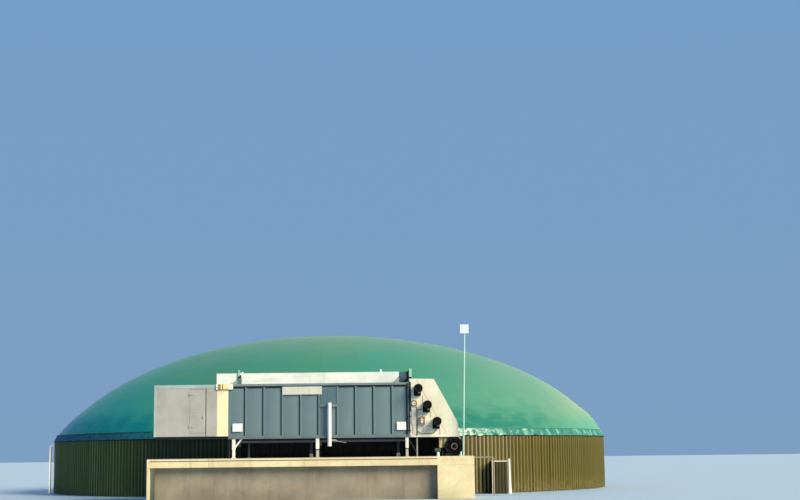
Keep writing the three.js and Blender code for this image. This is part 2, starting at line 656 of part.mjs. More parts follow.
function buildFeedScrew() {
  const flangeBack = SCREW_FRONT + FLANGE_THICKNESS;
  const standXs = about(SCREW_X, STAND_WIDTH);
  const standZs = [DECK_TOP, SCREW_Z - SCREW_RADIUS + HUB_DEPTH];
  const frontStand = flangeBack + STAND_DEPTH / 2;
  const backStand = DECK_BACK - 2 * STAND_DEPTH;
  const tube = joined(
    drumGeometry(SCREW_X, SCREW_Z, HUB_RADIUS, [SCREW_FRONT - HUB_DEPTH, flangeBack], 20),
    drumGeometry(SCREW_X, SCREW_Z, FLANGE_RADIUS, [SCREW_FRONT, flangeBack], 32),
    drumGeometry(SCREW_X, SCREW_Z, SCREW_RADIUS, [SCREW_FRONT + HUB_DEPTH / 2, SCREW_BACK], 32),
    boxGeometry(standXs, [frontStand, frontStand + STAND_DEPTH], standZs),
    boxGeometry(standXs, [backStand, backStand + STAND_DEPTH], standZs),
  );
  add('feed_screw', cut(tube, tankRoomGeometry()), MOTOR_BLACK);
  const chuteBlock = boxGeometry([CHUTE_LEFT, CHUTE_RIGHT], CHUTE_YS, [CHUTE_BOTTOM, BIN_BOTTOM]);
  const roomRadius = SCREW_RADIUS + 2 * SEAT_GAP;
  const tubeRoom = drumGeometry(SCREW_X, SCREW_Z, roomRadius, [SCREW_FRONT, CHUTE_YS[1] + 100], 32);
  add('chute', cut(chuteBlock, tubeRoom), CREAM_PAINT);
  const stem = (middle) => about(middle, PUMP_STEM_WIDTH);
  const pump = joined(
    boxGeometry(stem(PUMP_X), stem(PUMP_Y), [DECK_TOP, PUMP_BOTTOM + SINK]),
    boxGeometry(about(PUMP_X, PUMP_WIDTH), about(PUMP_Y, PUMP_DEPTH), [PUMP_BOTTOM, PUMP_TOP]),
  );
  add('pump_motor', pump, PUMP_GREEN);
}

function buildSidePieces() {
  const sideTube = joined(
    pinGeometry(TUBE_X, BIN_FRONT - TUBE_STANDOFF - TUBE_RADIUS, TUBE_RADIUS, TUBE_ZS),
    boxGeometry(TUBE_BRACKET_XS, [BIN_FRONT - TUBE_BRACKET_DEPTH, BIN_FRONT], TUBE_BRACKET_ZS),
  );
  add('side_tube', sideTube, WHITE_PAINT);
  const board = boxGeometry(NAME_BOARD_XS, [BIN_FRONT - NAME_BOARD_THICKNESS, BIN_FRONT], NAME_BOARD_ZS);
  add('name_board', board, CREAM_PAINT);

  const lean = LIGHT_POLE_HEAD - LIGHT_POLE_FOOT;
  const pole = pinGeometry(0, 0, LIGHT_POLE_RADIUS, [0, LIGHT_POLE_TOP - DECK_TOP]);
  const shear = lean / (LIGHT_POLE_TOP - DECK_TOP);
  pole.applyMatrix4(new THREE.Matrix4().makeShear(0, 0, 0, 0, shear, 0));
  add('light_pole', pole.translate(LIGHT_POLE_FOOT, LIGHT_Y, DECK_TOP), WHITE_PAINT);
  const head = boxGeometry(LIGHT_HEAD_XS, about(LIGHT_Y, LIGHT_HEAD_DEPTH), [LIGHT_POLE_TOP, LIGHT_HEAD_TOP]);
  add('light_head', head, WHITE_PAINT);
}

function buildAtTankWall() {
  const path = new THREE.CurvePath();
  const corner = new THREE.Vector3(RAIL_END, RAIL_Y, RAIL_HEIGHT);
  const beforeBend = new THREE.Vector3(RAIL_END - RAIL_BEND, RAIL_Y, RAIL_HEIGHT);
  const afterBend = new THREE.Vector3(RAIL_END, RAIL_Y, RAIL_HEIGHT - RAIL_BEND);
  path.add(new THREE.LineCurve3(new THREE.Vector3(DECK_RIGHT, RAIL_Y, RAIL_HEIGHT), beforeBend));
  path.add(new THREE.QuadraticBezierCurve3(beforeBend, corner, afterBend));
  path.add(new THREE.LineCurve3(afterBend, new THREE.Vector3(RAIL_END, RAIL_Y, 0)));
  const section = new THREE.Shape().absarc(0, 0, RAIL_RADIUS, 0, 2 * Math.PI);
  const settings = { steps: 24, extrudePath: path, curveSegments: 4, bevelEnabled: false };
  add('guard_rail', new THREE.ExtrudeGeometry(section, settings), GALVANISED);

  const boxBlock = boxGeometry(SERVICE_BOX_X, [SERVICE_BOX_FRONT, SERVICE_BOX_BACK], [0, SERVICE_BOX_TOP]);
  add('service_box', cut(boxBlock, tankRoomGeometry()), CLADDING_GREEN);
  const ventX = SERVICE_BOX_X[1] + SEAT_GAP + VENT_RADIUS;
  const vent = [
    [0, 0], [VENT_RADIUS, 0], [VENT_RADIUS, VENT_COLLAR], [VENT_RADIUS / 2, VENT_TOP], [0, VENT_TOP],
  ];
  const ventY = SERVICE_BOX_FRONT + VENT_SETBACK;
  add('vent', turnedGeometry(vent, 16).translate(ventX, ventY, 0), WHITE_PAINT);
}

buildTank();
buildDeck();
buildBin();
buildUnderframe();
buildSplashBoard();
buildHydraulics();
buildCylinderPost();
buildDischarge();
buildFeedScrew();
buildSidePieces();
buildAtTankWall();

export default digester;
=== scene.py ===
"""Biogas digester with its solids feeder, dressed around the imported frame."""
import functools
import json
from math import asin, atan2, cos, dist, hypot, pi, radians, sin, sqrt

import bmesh
import bpy
from bpy.types import Operator, Panel, PropertyGroup
from mathutils import Matrix, Vector
from mathutils.noise import noise

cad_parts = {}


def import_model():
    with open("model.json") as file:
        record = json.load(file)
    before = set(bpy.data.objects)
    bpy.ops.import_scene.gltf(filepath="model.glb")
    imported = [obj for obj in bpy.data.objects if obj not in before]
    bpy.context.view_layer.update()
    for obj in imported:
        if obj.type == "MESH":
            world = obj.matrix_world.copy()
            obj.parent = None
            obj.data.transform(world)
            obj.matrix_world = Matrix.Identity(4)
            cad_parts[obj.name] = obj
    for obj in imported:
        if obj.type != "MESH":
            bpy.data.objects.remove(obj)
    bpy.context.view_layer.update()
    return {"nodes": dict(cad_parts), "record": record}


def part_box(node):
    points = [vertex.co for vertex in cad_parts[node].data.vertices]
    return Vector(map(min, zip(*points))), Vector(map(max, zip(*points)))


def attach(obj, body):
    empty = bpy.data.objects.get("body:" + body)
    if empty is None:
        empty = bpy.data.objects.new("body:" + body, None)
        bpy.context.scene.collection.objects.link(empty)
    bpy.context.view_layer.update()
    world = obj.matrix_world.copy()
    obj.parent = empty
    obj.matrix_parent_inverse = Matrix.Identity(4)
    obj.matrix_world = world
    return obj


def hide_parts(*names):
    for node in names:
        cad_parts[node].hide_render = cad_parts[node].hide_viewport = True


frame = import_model()

bl_info = {
    "name": "Biogas digester",
    "version": (1, 0, 0),
    "blender": (4, 5, 0),
    "location": "View3D > Sidebar > Digester",
    "description": "Models a clad digester tank, its gas dome and its solids feeder",
    "category": "Object",
}

# Camera: standing eye height in front of the feeder
CAMERA_PLACE = (3.65, -73.3, 1.75)
CAMERA_PITCH = radians(8.27)
CAMERA_ROLL = radians(-0.64)
CAMERA_LENS = 63.0

# Shapes that the solids share with the source of the part
DOME_SINK = 0.29
SEAM_RADIUS = 13.85
HEM_RADIUS = 13.985
RIB_COUNT = 9
FIRST_RIB = -2.465
RIB_PITCH = 0.719
DOOR_LEFT, DOOR_RIGHT = -4.67, -4.04
DOOR_BOTTOM, DOOR_TOP = 2.62, 4.33
DOOR_GAP = 0.008
BIN_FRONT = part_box("bin_front_wall")[0].y
MOTOR_PLACES = ((4.27, 4.2), (4.62, 3.555), (4.99, 2.915))
MOTOR_AXIS = (0.036, 0.067)
SCREW_AXIS = Vector((5.685, 0, 2.005))
SCREW_FRONT = -18.1
DOWNPIPE_ANGLE = radians(193)
DOWNPIPE_RADIUS = 14.15
UP = Vector((0, 0, 1))
FORWARD = (0, -1, 0)

# Light of a clear afternoon
SUN_STRENGTH = 5.8
SUN_COLOUR = "fff0d1"
SUN_SOFTNESS = radians(32)
SKY_LOW = "85a8cd"
SKY_HIGH = "6fa6dc"
SKY_STRENGTH = 0.88
PIPE_LAMP_POWER = 1700
FLOOR_COOL = "9baebb"
FLOOR_PALE = "a1b4c0"

# Colours of the larger finishes
# Painted shade: the dome's colour on its shaded left side
MEMBRANE_PAINTED_SHADE = "1a9087"
MEMBRANE = "3f7e65"
# Painted sunlight: the dome's colour on its sunlit right side
MEMBRANE_PAINTED_SUNLIT = "649078"
MEMBRANE_DEEP = "1a6c5c"
# Painted shade: the low band's colour on the dome's shaded left
MEMBRANE_DEEP_PAINTED_SHADE = "007377"
# Painted sunlight: the low band's colour on the dome's sunlit right
MEMBRANE_DEEP_PAINTED_SUNLIT = "549a7e"
# Dust, with painted sheen: the greyer tone of the crown and of patches over the dome
MEMBRANE_DUST_AND_SHEEN = "618669"
SKIRT_SHADED = "00505f"
SKIRT_DARK = "0a5a62"
SKIRT_LIGHT = "1f7870"
# Painted sunlight: the skirt's colour on its sunlit side
SKIRT_PAINTED_SUNLIT = "44836c"
# Painted shade: the cladding's colour on its shaded left
CLADDING_PAINTED_SHADE = "43561a"
CLADDING = "544b14"
BIN_BLUE = "586f75"
BIN_GREEN = "6f8383"
RUST = "6b3f24"


def colour(text):
    """A linear colour from six hexadecimal digits"""
    parts = [int(text[i:i + 2], 16) / 255 for i in (0, 2, 4)]
    linear = [p / 12.92 if p <= 0.04045 else ((p + 0.055) / 1.055) ** 2.4 for p in parts]
    return (*linear, 1.0)


class Wire:
    """A shader socket that grows Math nodes when it is used in arithmetic"""

    def __init__(self, nodes, socket):
        self.nodes = nodes
        self.socket = socket

    def math(self, operation, *values):
        return self.nodes.add("ShaderNodeMath", {"operation": operation}, dict(enumerate(values)))

    def __add__(self, other):
        return self.math("ADD", self, other)

    def __radd__(self, other):
        return self.math("ADD", other, self)

    def __sub__(self, other):
        return self.math("SUBTRACT", self, other)

    def __rsub__(self, other):
        return self.math("SUBTRACT", other, self)

    def __mul__(self, other):
        return self.math("MULTIPLY", self, other)

    def __rmul__(self, other):
        return self.math("MULTIPLY", other, self)

    def __truediv__(self, other):
        return self.math("DIVIDE", self, other)

    def of(self, operation, *values):
        return self.math(operation, self, *values)

    def between(self, low, high):
        """0 below low, 1 above high, and smooth between them"""
        settings = {"interpolation_type": "SMOOTHSTEP"}
        return self.nodes.add("ShaderNodeMapRange", settings, {0: self, 1: low, 2: high, 3: 0.0, 4: 1.0})

    def outside(self, low, high):
        """1 below low, 0 above high, and smooth between them"""
        return 1 - self.between(low, high)


class Nodes:
    """A node tree that grows by one call for each node"""

    def __init__(self, tree, place):
        self.tree = tree
        self.place = self.add("ShaderNodeTexCoord", {}, {}, place)

    def add(self, kind, settings, values, output=0):
        """A node of a kind, with its settings and then the values or wires of its sockets"""
        node = self.tree.nodes.new(kind)
        for key, value in settings.items():
            setattr(node, key, value)
        for key, value in values.items():
            self.plug(node.inputs[key], value)
        return Wire(self, node.outputs[output])

    def plug(self, socket, value):
        if isinstance(value, Wire):
            self.tree.links.new(value.socket, socket)
        else:
            socket.default_value = colour(value) if isinstance(value, str) else value

    def axes(self, vector=None):
        """The three parts of a vector, or else of the place"""
        node = self.add("ShaderNodeSeparateXYZ", {}, {0: vector or self.place}).socket.node
        return [Wire(self, output) for output in node.outputs]

    def mix(self, factor, a, b):
        return self.add("ShaderNodeMix", {"data_type": "RGBA"}, {0: factor, 6: a, 7: b}, 2)


class Finish(Nodes):
    """A material while it is being built, with the tone that it has so far"""

    def __init__(self, name):
        self.material = bpy.data.materials.new(name)
        self.material.use_nodes = True
        super().__init__(self.material.node_tree, "Object")
        self.shader = self.tree.nodes["Principled BSDF"]
        self.tone = None

    def stretched(self, scale):
        return self.add("ShaderNodeMapping", {}, {"Vector": self.place, "Scale": scale})

    def noise(self, scale, detail=4.0, stretch=None):
        where = self.stretched(stretch) if stretch else self.place
        values = {"Vector": where, "Scale": scale, "Detail": detail, "Roughness": 0.55}
        return self.add("ShaderNodeTexNoise", {"noise_dimensions": "3D"}, values)

    def cells(self, scale, output="Distance"):
        return self.add("ShaderNodeTexVoronoi", {}, {"Vector": self.place, "Scale": scale}, output)

    def each(self, number):
        """A chance value for each whole number"""
        settings = {"noise_dimensions": "1D"}
        return self.add("ShaderNodeTexWhiteNoise", settings, {"W": number.of("FLOOR")}, "Value")

    def start(self, factor, a, b):
        """The first tone, between two colours"""
        self.tone = self.mix(factor, a, b)

    def tint(self, factor, shade):
        """Lays a colour over the tone so far"""
        self.tone = self.mix(factor, self.tone, shade)

    def bump(self, height, distance, strength=1.0, normal=None):
        values = {"Height": height, "Distance": distance, "Strength": strength}
        if normal:
            values["Normal"] = normal
        return self.add("ShaderNodeBump", {}, values)

    def done(self, specular=0.5, **sockets):
        """Wires the tone and the other sockets, named as the shader names them, to the shader"""
        self.plug(self.shader.inputs["Base Color"], self.tone)
        self.plug(self.shader.inputs["Specular IOR Level"], specular)
        for key, value in sockets.items():
            self.plug(self.shader.inputs[key.replace("_", " ").title()], value)


def membrane(finish):
    """Coated fabric in welded gores: dust and painted sheen at the crown, painted shade on its left side,
    painted sunlight and a painted highlight on its right side
    """
    gores = bpy.context.scene.digester_sizes.gores
    x, y, z = finish.axes()
    turn = y.of("ARCTAN2", x) * (gores / (2 * pi))
    from_seam = (turn.of("FRACT") - 0.5).of("ABSOLUTE")
    radius = (x * x + y * y).of("SQRT")
    across = (0.5 - from_seam) * radius * (2 * pi / gores)
    weld = across.outside(0.02, 0.035)
    film = finish.noise(0.22, 5.0) * 0.6 + finish.noise(1.1, 6.0, (1, 1, 0.5)) * 0.4
    crown = z.between(5.6, 7.9)
    side = x + (film - 0.5) * 6
    # The dome's left side is painted darker as shade and its right side lighter as sunlight
    finish.start(side.between(-12.5, -4.0), MEMBRANE_PAINTED_SHADE, MEMBRANE)
    finish.tint(side.between(2.0, 13.5), MEMBRANE_PAINTED_SUNLIT)
    finish.tint(finish.each(turn) * 0.2, "2a8f80")
    # Dust and painted sheen at the crown and in patches
    finish.tint((crown * 0.75 + (film - 0.5) * 1.1).between(0.05, 0.9) * 0.75, MEMBRANE_DUST_AND_SHEEN)
    finish.tint(film.between(0.54, 0.72) * 0.4, MEMBRANE_DUST_AND_SHEEN)
    streaks = finish.noise(1.3, 4.0, (1, 1, 2.5)).between(0.35, 0.65)
    low = z.outside(2.9, 4.1) * (0.7 + 0.3 * streaks) + z.outside(3.4, 5.2) * 0.25 * streaks
    # The low band is painted bluer and darker on the left as shade, bluest at the far left, and paler and
    # fainter on the right as sunlight
    deep = finish.mix(x.between(-9.0, -3.0), MEMBRANE_DEEP_PAINTED_SHADE, MEMBRANE_DEEP)
    deep = finish.mix(x.between(9.0, 13.0), deep, MEMBRANE_DEEP_PAINTED_SUNLIT)
    deep = finish.mix(x.outside(-12.8, -10.5) * 0.7, deep, "0080a0")
    finish.tint(low.of("MINIMUM", 1.0) * (0.95 - x.between(7.0, 12.0) * 0.25), deep)
    finish.tint(weld * 0.1, "176b58")
    finish.tint(finish.noise(9.0, 3.0).between(0.68, 0.76) * 0.2, "5d6f4d")
    # Pale patches low on the dome's right: a painted highlight of the sun
    bare = x.between(9.4, 12.8) * z.between(3.0, 3.7) * z.outside(5.0, 7.2)
    finish.tint(bare * finish.noise(0.4, 3.0).between(0.15, 0.75) * 0.65, "93a46c")
    normal = finish.bump(weld, 0.002)
    normal = finish.bump(finish.noise(0.8, 3.0), 0.05, 0.35, normal)
    normal = finish.bump(finish.noise(220.0, 2.0), 0.0006, 0.4, normal)
    finish.done(roughness=0.5 + film * 0.15, normal=normal, specular=0.13)


def skirt_membrane(finish):
    """The same fabric where it hangs in folds, clean and glossy, with painted shade on its left and painted
    sunlight on its right, painted fold shading and glints, and a darker welded hem that is partly painted
    shadow
    """
    x, _, z = finish.axes()
    cloud = finish.noise(1.6)
    hang = finish.noise(4.5, 3.0, (1, 1, 0.45))
    # Noise for the thick and thin glints that are painted on the crumples
    glint_noise = finish.noise(7.0, 3.0, (1, 1, 1.5))
    thick = glint_noise.between(0.5, 0.57) * x.between(5.4, 5.9) * x.outside(6.7, 7.6)
    thin = finish.noise(3.2, 3.0).between(0.6, 0.68) * x.between(6.4, 7.2) * x.outside(10.0, 12.6)
    ends = 1 - x.between(-7.0, -1.0) * x.outside(9.5, 12.0)
    finish.start(cloud.between(0.35, 0.7), SKIRT_DARK, SKIRT_LIGHT)
    # The skirt is painted lighter on its sunlit side and darker (SKIRT_SHADED) on its shaded left
    finish.tint(x.between(-3.0, 9.0) * 0.7, SKIRT_PAINTED_SUNLIT)
    finish.tint(x.outside(-11.5, -4.0) * 0.85, SKIRT_SHADED)
    # Dark and light streaks along the folds: painted fold shade, and painted fold highlight on the sunlit
    # part
    finish.tint(hang.between(0.52, 0.62) * 0.4, "03474b")
    finish.tint(hang.outside(0.38, 0.46) * x.between(3.0, 6.0) * 0.35, "9ad0b4")
    # Painted shade: bluer at the far left
    finish.tint(x.outside(-12.6, -10.5) * 0.5, "00507c")
    # Darker hem: partly the welded hem, partly painted shadow below it
    finish.tint(z.outside(2.492, 2.512) * 0.8, "062c27")
    # Cream-white blotches on the sunlit right: painted glints of the sun on the crumples
    finish.tint((thick * 0.75 + thin * 0.45).of("MINIMUM", 1.0), "cfdcc6")
    normal = finish.bump(finish.noise(3.2, 4.0, (1, 1, 2.2)), 0.05, 0.6)
    normal = finish.bump(finish.noise(9.0, 3.0), 0.014, 0.7, normal)
    normal = finish.bump(finish.noise(220.0, 2.0), 0.0006, 0.4, normal)
    finish.done(roughness=0.24 + cloud * 0.1 + ends * 0.5, normal=normal, specular=0.35)


def hose_fabric(finish):
    """Dark coated fabric round the clamping hose, painted lighter over its sunlit front and right"""
    cloud = finish.noise(1.6)
    finish.start(cloud.between(0.35, 0.7), "0b5b52", "14705f")
    # Painted sunlight: lighter over the sunlit front and right
    finish.tint(finish.axes()[0].between(-2.0, 7.0) * 0.6, "3c9479")
    finish.done(roughness=0.5, normal=finish.bump(cloud, 0.01, 0.3))


def cladding_paint(finish):
    """Coated ribbed sheet, olive and stained, painted dark on its left and behind the feeder as shade, with
    painted shade in its valleys and under the skirt and painted highlights on its crests
    """
    sizes = bpy.context.scene.digester_sizes
    x, y, z = finish.axes()
    angle = y.of("ARCTAN2", x)
    turn = angle * (sizes.sheets / (2 * pi))
    rib = angle * (sizes.ribs / (2 * pi)) - 0.125
    from_valley = ((rib + 0.5).of("FRACT") - 0.5).of("ABSOLUTE")
    valley = from_valley.outside(0.17, 0.3)
    crest = from_valley.between(0.36, 0.42)
    single = finish.each(rib + 0.5)
    foot = z.outside(0.05, 0.9) * finish.noise(5.0).between(0.3, 0.7)
    sunny = x.between(-7.0, 6.5)
    feeder_painted_shade = x.between(-9.2, -6.6) * x.outside(4.5, 6.2) * y.outside(-9.0, -6.0)
    # Painted highlights on the rib crests: cream on the sunlit side, paler further round
    lit = finish.mix(x.between(7.5, 10.0), "aaa07e", "877c38")
    broad = x.outside(7.5, 9.5) * (from_valley.between(0.25, 0.34) - crest) + crest
    lap = (turn.of("FRACT") - 0.5).of("ABSOLUTE").outside(0.004, 0.012)
    # The shaded left side is painted dark, the sunlit side olive
    finish.start(sunny, CLADDING_PAINTED_SHADE, CLADDING)
    finish.tint(finish.each(turn) * 0.3 * sunny, "655f22")
    finish.tint(finish.noise(2.2, 5.0, (3, 3, 0.25)).between(0.45, 0.75) * 0.3, "6f6a3a")
    finish.tint(z.between(1.9, 2.5) * sunny * 0.3, "7a6038")
    finish.tint(broad * sunny * (0.25 + single * 0.4), lit)
    finish.tint(x.between(9.0, 13.4) * y.outside(-3.0, 3.0) * 0.5, "43460c")
    # Painted shade: darker still at the far left
    finish.tint(x.outside(-13.7, -11.8) * 0.4, "26220f")
    # Painted shade in the valleys between the ribs
    finish.tint(valley * (0.25 + sunny * 0.15 + single * 0.45), "221d0a")
    # Painted highlights on the crests of the shaded left side
    finish.tint(crest * (1 - sunny) * single.between(0.35, 0.9) * 0.7, "86906a")
    finish.tint(foot * 0.3, "8a7a55")
    # Painted shade: darker behind the feeder
    finish.tint(feeder_painted_shade * 0.8, "0a160f")
    # Painted shadow of the skirt's hem along the cladding's top
    finish.tint(z.between(2.435, 2.47) * 0.75, "14120a")
    finish.tint(lap * 0.6, "1c1f12")
    normal = finish.bump(finish.noise(3.0, 2.0, (1, 1, 0.4)), 0.01, 0.3)
    finish.done(roughness=0.42 + foot * 0.3, normal=normal, specular=0.2)


def concrete(finish, light, dark, stain, warm):
    """Cast concrete with pores, board marks and running stains"""
    z = finish.axes()[2]
    cloud = finish.noise(0.9, 6.0)
    grain = finish.noise(26.0, 6.0)
    runs = finish.noise(1.4, 5.0, (3.2, 3.2, 0.3)).between(0.52, 0.74)
    holes = finish.cells(38.0).outside(0.1, 0.2) * finish.noise(7.0, 2.0).between(0.5, 0.62)
    finish.start(cloud.between(0.3, 0.7), light, dark)
    finish.tint(grain.between(0.45, 0.7) * 0.3, dark)
    finish.tint(finish.noise(3.5, 5.0).between(0.48, 0.66) * 0.4, warm)
    finish.tint(runs * 0.35, stain)
    finish.tint(z.outside(0.0, 0.7) * 0.5 * cloud, stain)
    finish.tint(holes * 0.5, "4a4438")
    normal = finish.bump(1 - holes, 0.004, 1.0, finish.bump(grain, 0.004, 0.6))
    finish.done(roughness=0.88, normal=normal)


def zinc(finish, light, dark, wiped):
    """Zinc-coated sheet with spangle, handled and slightly dented"""
    grey = finish.add("ShaderNodeSeparateColor", {}, {0: finish.cells(55.0, "Color")})
    wipe = finish.noise(1.5, 4.0, (1, 1, 1.4)).between(0.46, 0.72)
    finish.start(finish.noise(1.3, 5.0).between(0.3, 0.7), dark, light)
    finish.tint(grey * 0.25, dark)
    finish.tint(wipe * 0.25, wiped)
    normal = finish.bump(finish.noise(1.7, 3.0), 0.03, 0.45)
    finish.done(metallic=0.35, roughness=0.45 + wipe * 0.15 + grey * 0.08, normal=normal)


def sprayed(finish):
    """The fine grain of sprayed paint"""
    return finish.bump(finish.noise(40.0), 0.0006, 0.5)


def paint(finish, fresh, faded, dirt, roughness, rust, streaks):
    """Sprayed paint that has chalked, with dirt that runs down and specks of rust"""
    runs = finish.noise(2.4, 5.0, (4.0, 4.0, 0.35)).between(0.5, 0.75)
    specks = finish.noise(14.0, 5.0).between(0.7, 0.76)
    finish.start(finish.noise(1.1, 5.0).between(0.3, 0.7) * 0.8, fresh, faded)
    finish.tint(runs * streaks, dirt)
    finish.tint(specks * rust * 3, RUST)
    normal = finish.bump(finish.noise(1.6, 2.0), 0.012, 0.25, sprayed(finish))
    finish.done(roughness=roughness + runs * 0.18 + specks * 0.3, normal=normal)


def bin_paint(finish):
    """Blue-grey paint, bluer towards the left of each wall panel and greener towards its right"""
    x, _, z = finish.axes()
    along = ((x - FIRST_RIB) / RIB_PITCH).of("FRACT") + (finish.noise(1.1, 5.0) - 0.5) * 0.6
    runs = finish.noise(2.4, 5.0, (4.0, 4.0, 0.35)).between(0.52, 0.76)
    finish.start(along.between(0.1, 0.9) * 0.6 + 0.25, BIN_BLUE, BIN_GREEN)
    finish.tint(x.between(0.5, 3.8) * 0.25, "7a928c")
    finish.tint(z.outside(2.44, 2.5) * 0.45, "5c605b")
    finish.tint(runs * 0.22, "4c5a5a")
    finish.tint(finish.noise(14.0, 5.0).between(0.71, 0.77) * 0.2, RUST)
    normal = finish.bump(finish.noise(1.6, 2.0), 0.012, 0.25, sprayed(finish))
    finish.done(roughness=0.42 + runs * 0.15, normal=normal)


def board_paint(finish):
    """Nearly white paint, wiped and scuffed lengthways"""
    smudge = finish.noise(2.0, 6.0, (0.35, 1, 2.4)).between(0.52, 0.72)
    finish.start(finish.noise(0.9, 5.0).between(0.3, 0.7), "dde7df", "f6faee")
    finish.tint(smudge * 0.3, "b9b9a2")
    finish.tint(finish.noise(5.0).between(0.55, 0.7) * 0.3, "c3cdbd")
    finish.tint(finish.noise(14.0, 5.0).between(0.71, 0.77) * 0.3, RUST)
    finish.done(roughness=0.5 + smudge * 0.15, normal=sprayed(finish))


def black_paint(finish):
    """Thick black paint with little sheen, dusty on its upper faces"""
    cloud = finish.noise(6.0)
    upward = finish.axes(finish.add("ShaderNodeNewGeometry", {}, {}, "Normal"))[2]
    finish.start(cloud.between(0.4, 0.7), "060708", "0b0c0e")
    finish.tint(upward.between(0.5, 0.95) * 0.12, "5d574c")
    finish.done(roughness=0.5 + cloud * 0.12, normal=sprayed(finish), specular=0.14)


def rusty_cream(finish):
    """Cream paint with rust that spreads from the bolts near its left end"""
    x, _, z = finish.axes()
    spread = finish.noise(9.0)
    halo = 0.022 + spread * 0.05
    clear = [((x - place).of("ABSOLUTE") - halo * width).between(-0.012, 0.014)
             for place, width in ((-3.505, 1.2), (-3.375, 0.6))]
    spots = 1 - clear[0] * clear[1]
    middle = x.between(-3.56, -3.5) * x.outside(-3.2, -3.08)
    finish.start(spread.between(0.3, 0.7), "e9e0cf", "f2ecdf")
    finish.tint(middle * 0.85, "eeda8e")
    finish.tint(z.outside(4.31, 4.36) * middle * 0.7, "b07c40")
    finish.tint(spots * 0.85, "7a5a26")
    finish.done(roughness=0.45 + spots * 0.3, normal=finish.bump(spread, 0.001, 0.5))


def cover_cream(finish):
    """Warm cream that the rust of the bracket above has tinted at the top"""
    x, _, z = finish.axes()
    cloud = finish.noise(2.0)
    finish.start(cloud.between(0.3, 0.7), "f0dfae", "f6e8be")
    finish.tint(z.between(3.9, 4.33) * x.outside(-3.5, -3.25) * 0.7, "eec09c")
    finish.tint(x.between(-3.28, -3.16) * 0.3, "e4e8b4")
    finish.done(roughness=0.45, normal=finish.bump(cloud, 0.002, 0.3))


def streaked_cream(finish):
    """Chute paint that feed has stained in upright brown streaks"""
    grain = finish.noise(30.0)
    finish.start(finish.noise(7.0, 3.0, (1, 1, 0.06)).between(0.4, 0.62), "c9b58c", "6d5639")
    finish.tint(grain.between(0.5, 0.7) * 0.3, "4c3a26")
    finish.done(roughness=0.6, normal=finish.bump(grain, 0.002, 0.5))


def flap_paint(finish):
    """Slate sheet, darker towards its right end"""
    cloud = finish.noise(3.5)
    finish.start(cloud.between(0.35, 0.65), "35495a", "4b6172")
    finish.tint(finish.axes()[0].between(3.7, 3.9) * 0.7, "1a2430")
    finish.done(roughness=0.45, normal=finish.bump(cloud, 0.004, 0.4))


def white_plastic(finish):
    grime = finish.noise(6.0, 4.0, (1, 1, 0.3)).between(0.5, 0.75)
    finish.start(grime * 0.4, "ecebe6", "b9b4a4")
    finish.done(roughness=0.3 + grime * 0.2)


def lamp_glass(finish):
    facets = finish.cells(30.0)
    finish.start(facets, "eef2f4", "cfd6da")
    finish.done(roughness=0.12, coat_weight=1.0, normal=finish.bump(facets, 0.004, 0.5))


def rubber(finish):
    dust = finish.noise(12.0, 5.0)
    finish.start(dust.between(0.4, 0.75) * 0.5, "161616", "3b3934")
    finish.done(roughness=0.7, normal=finish.bump(dust, 0.002, 0.4))


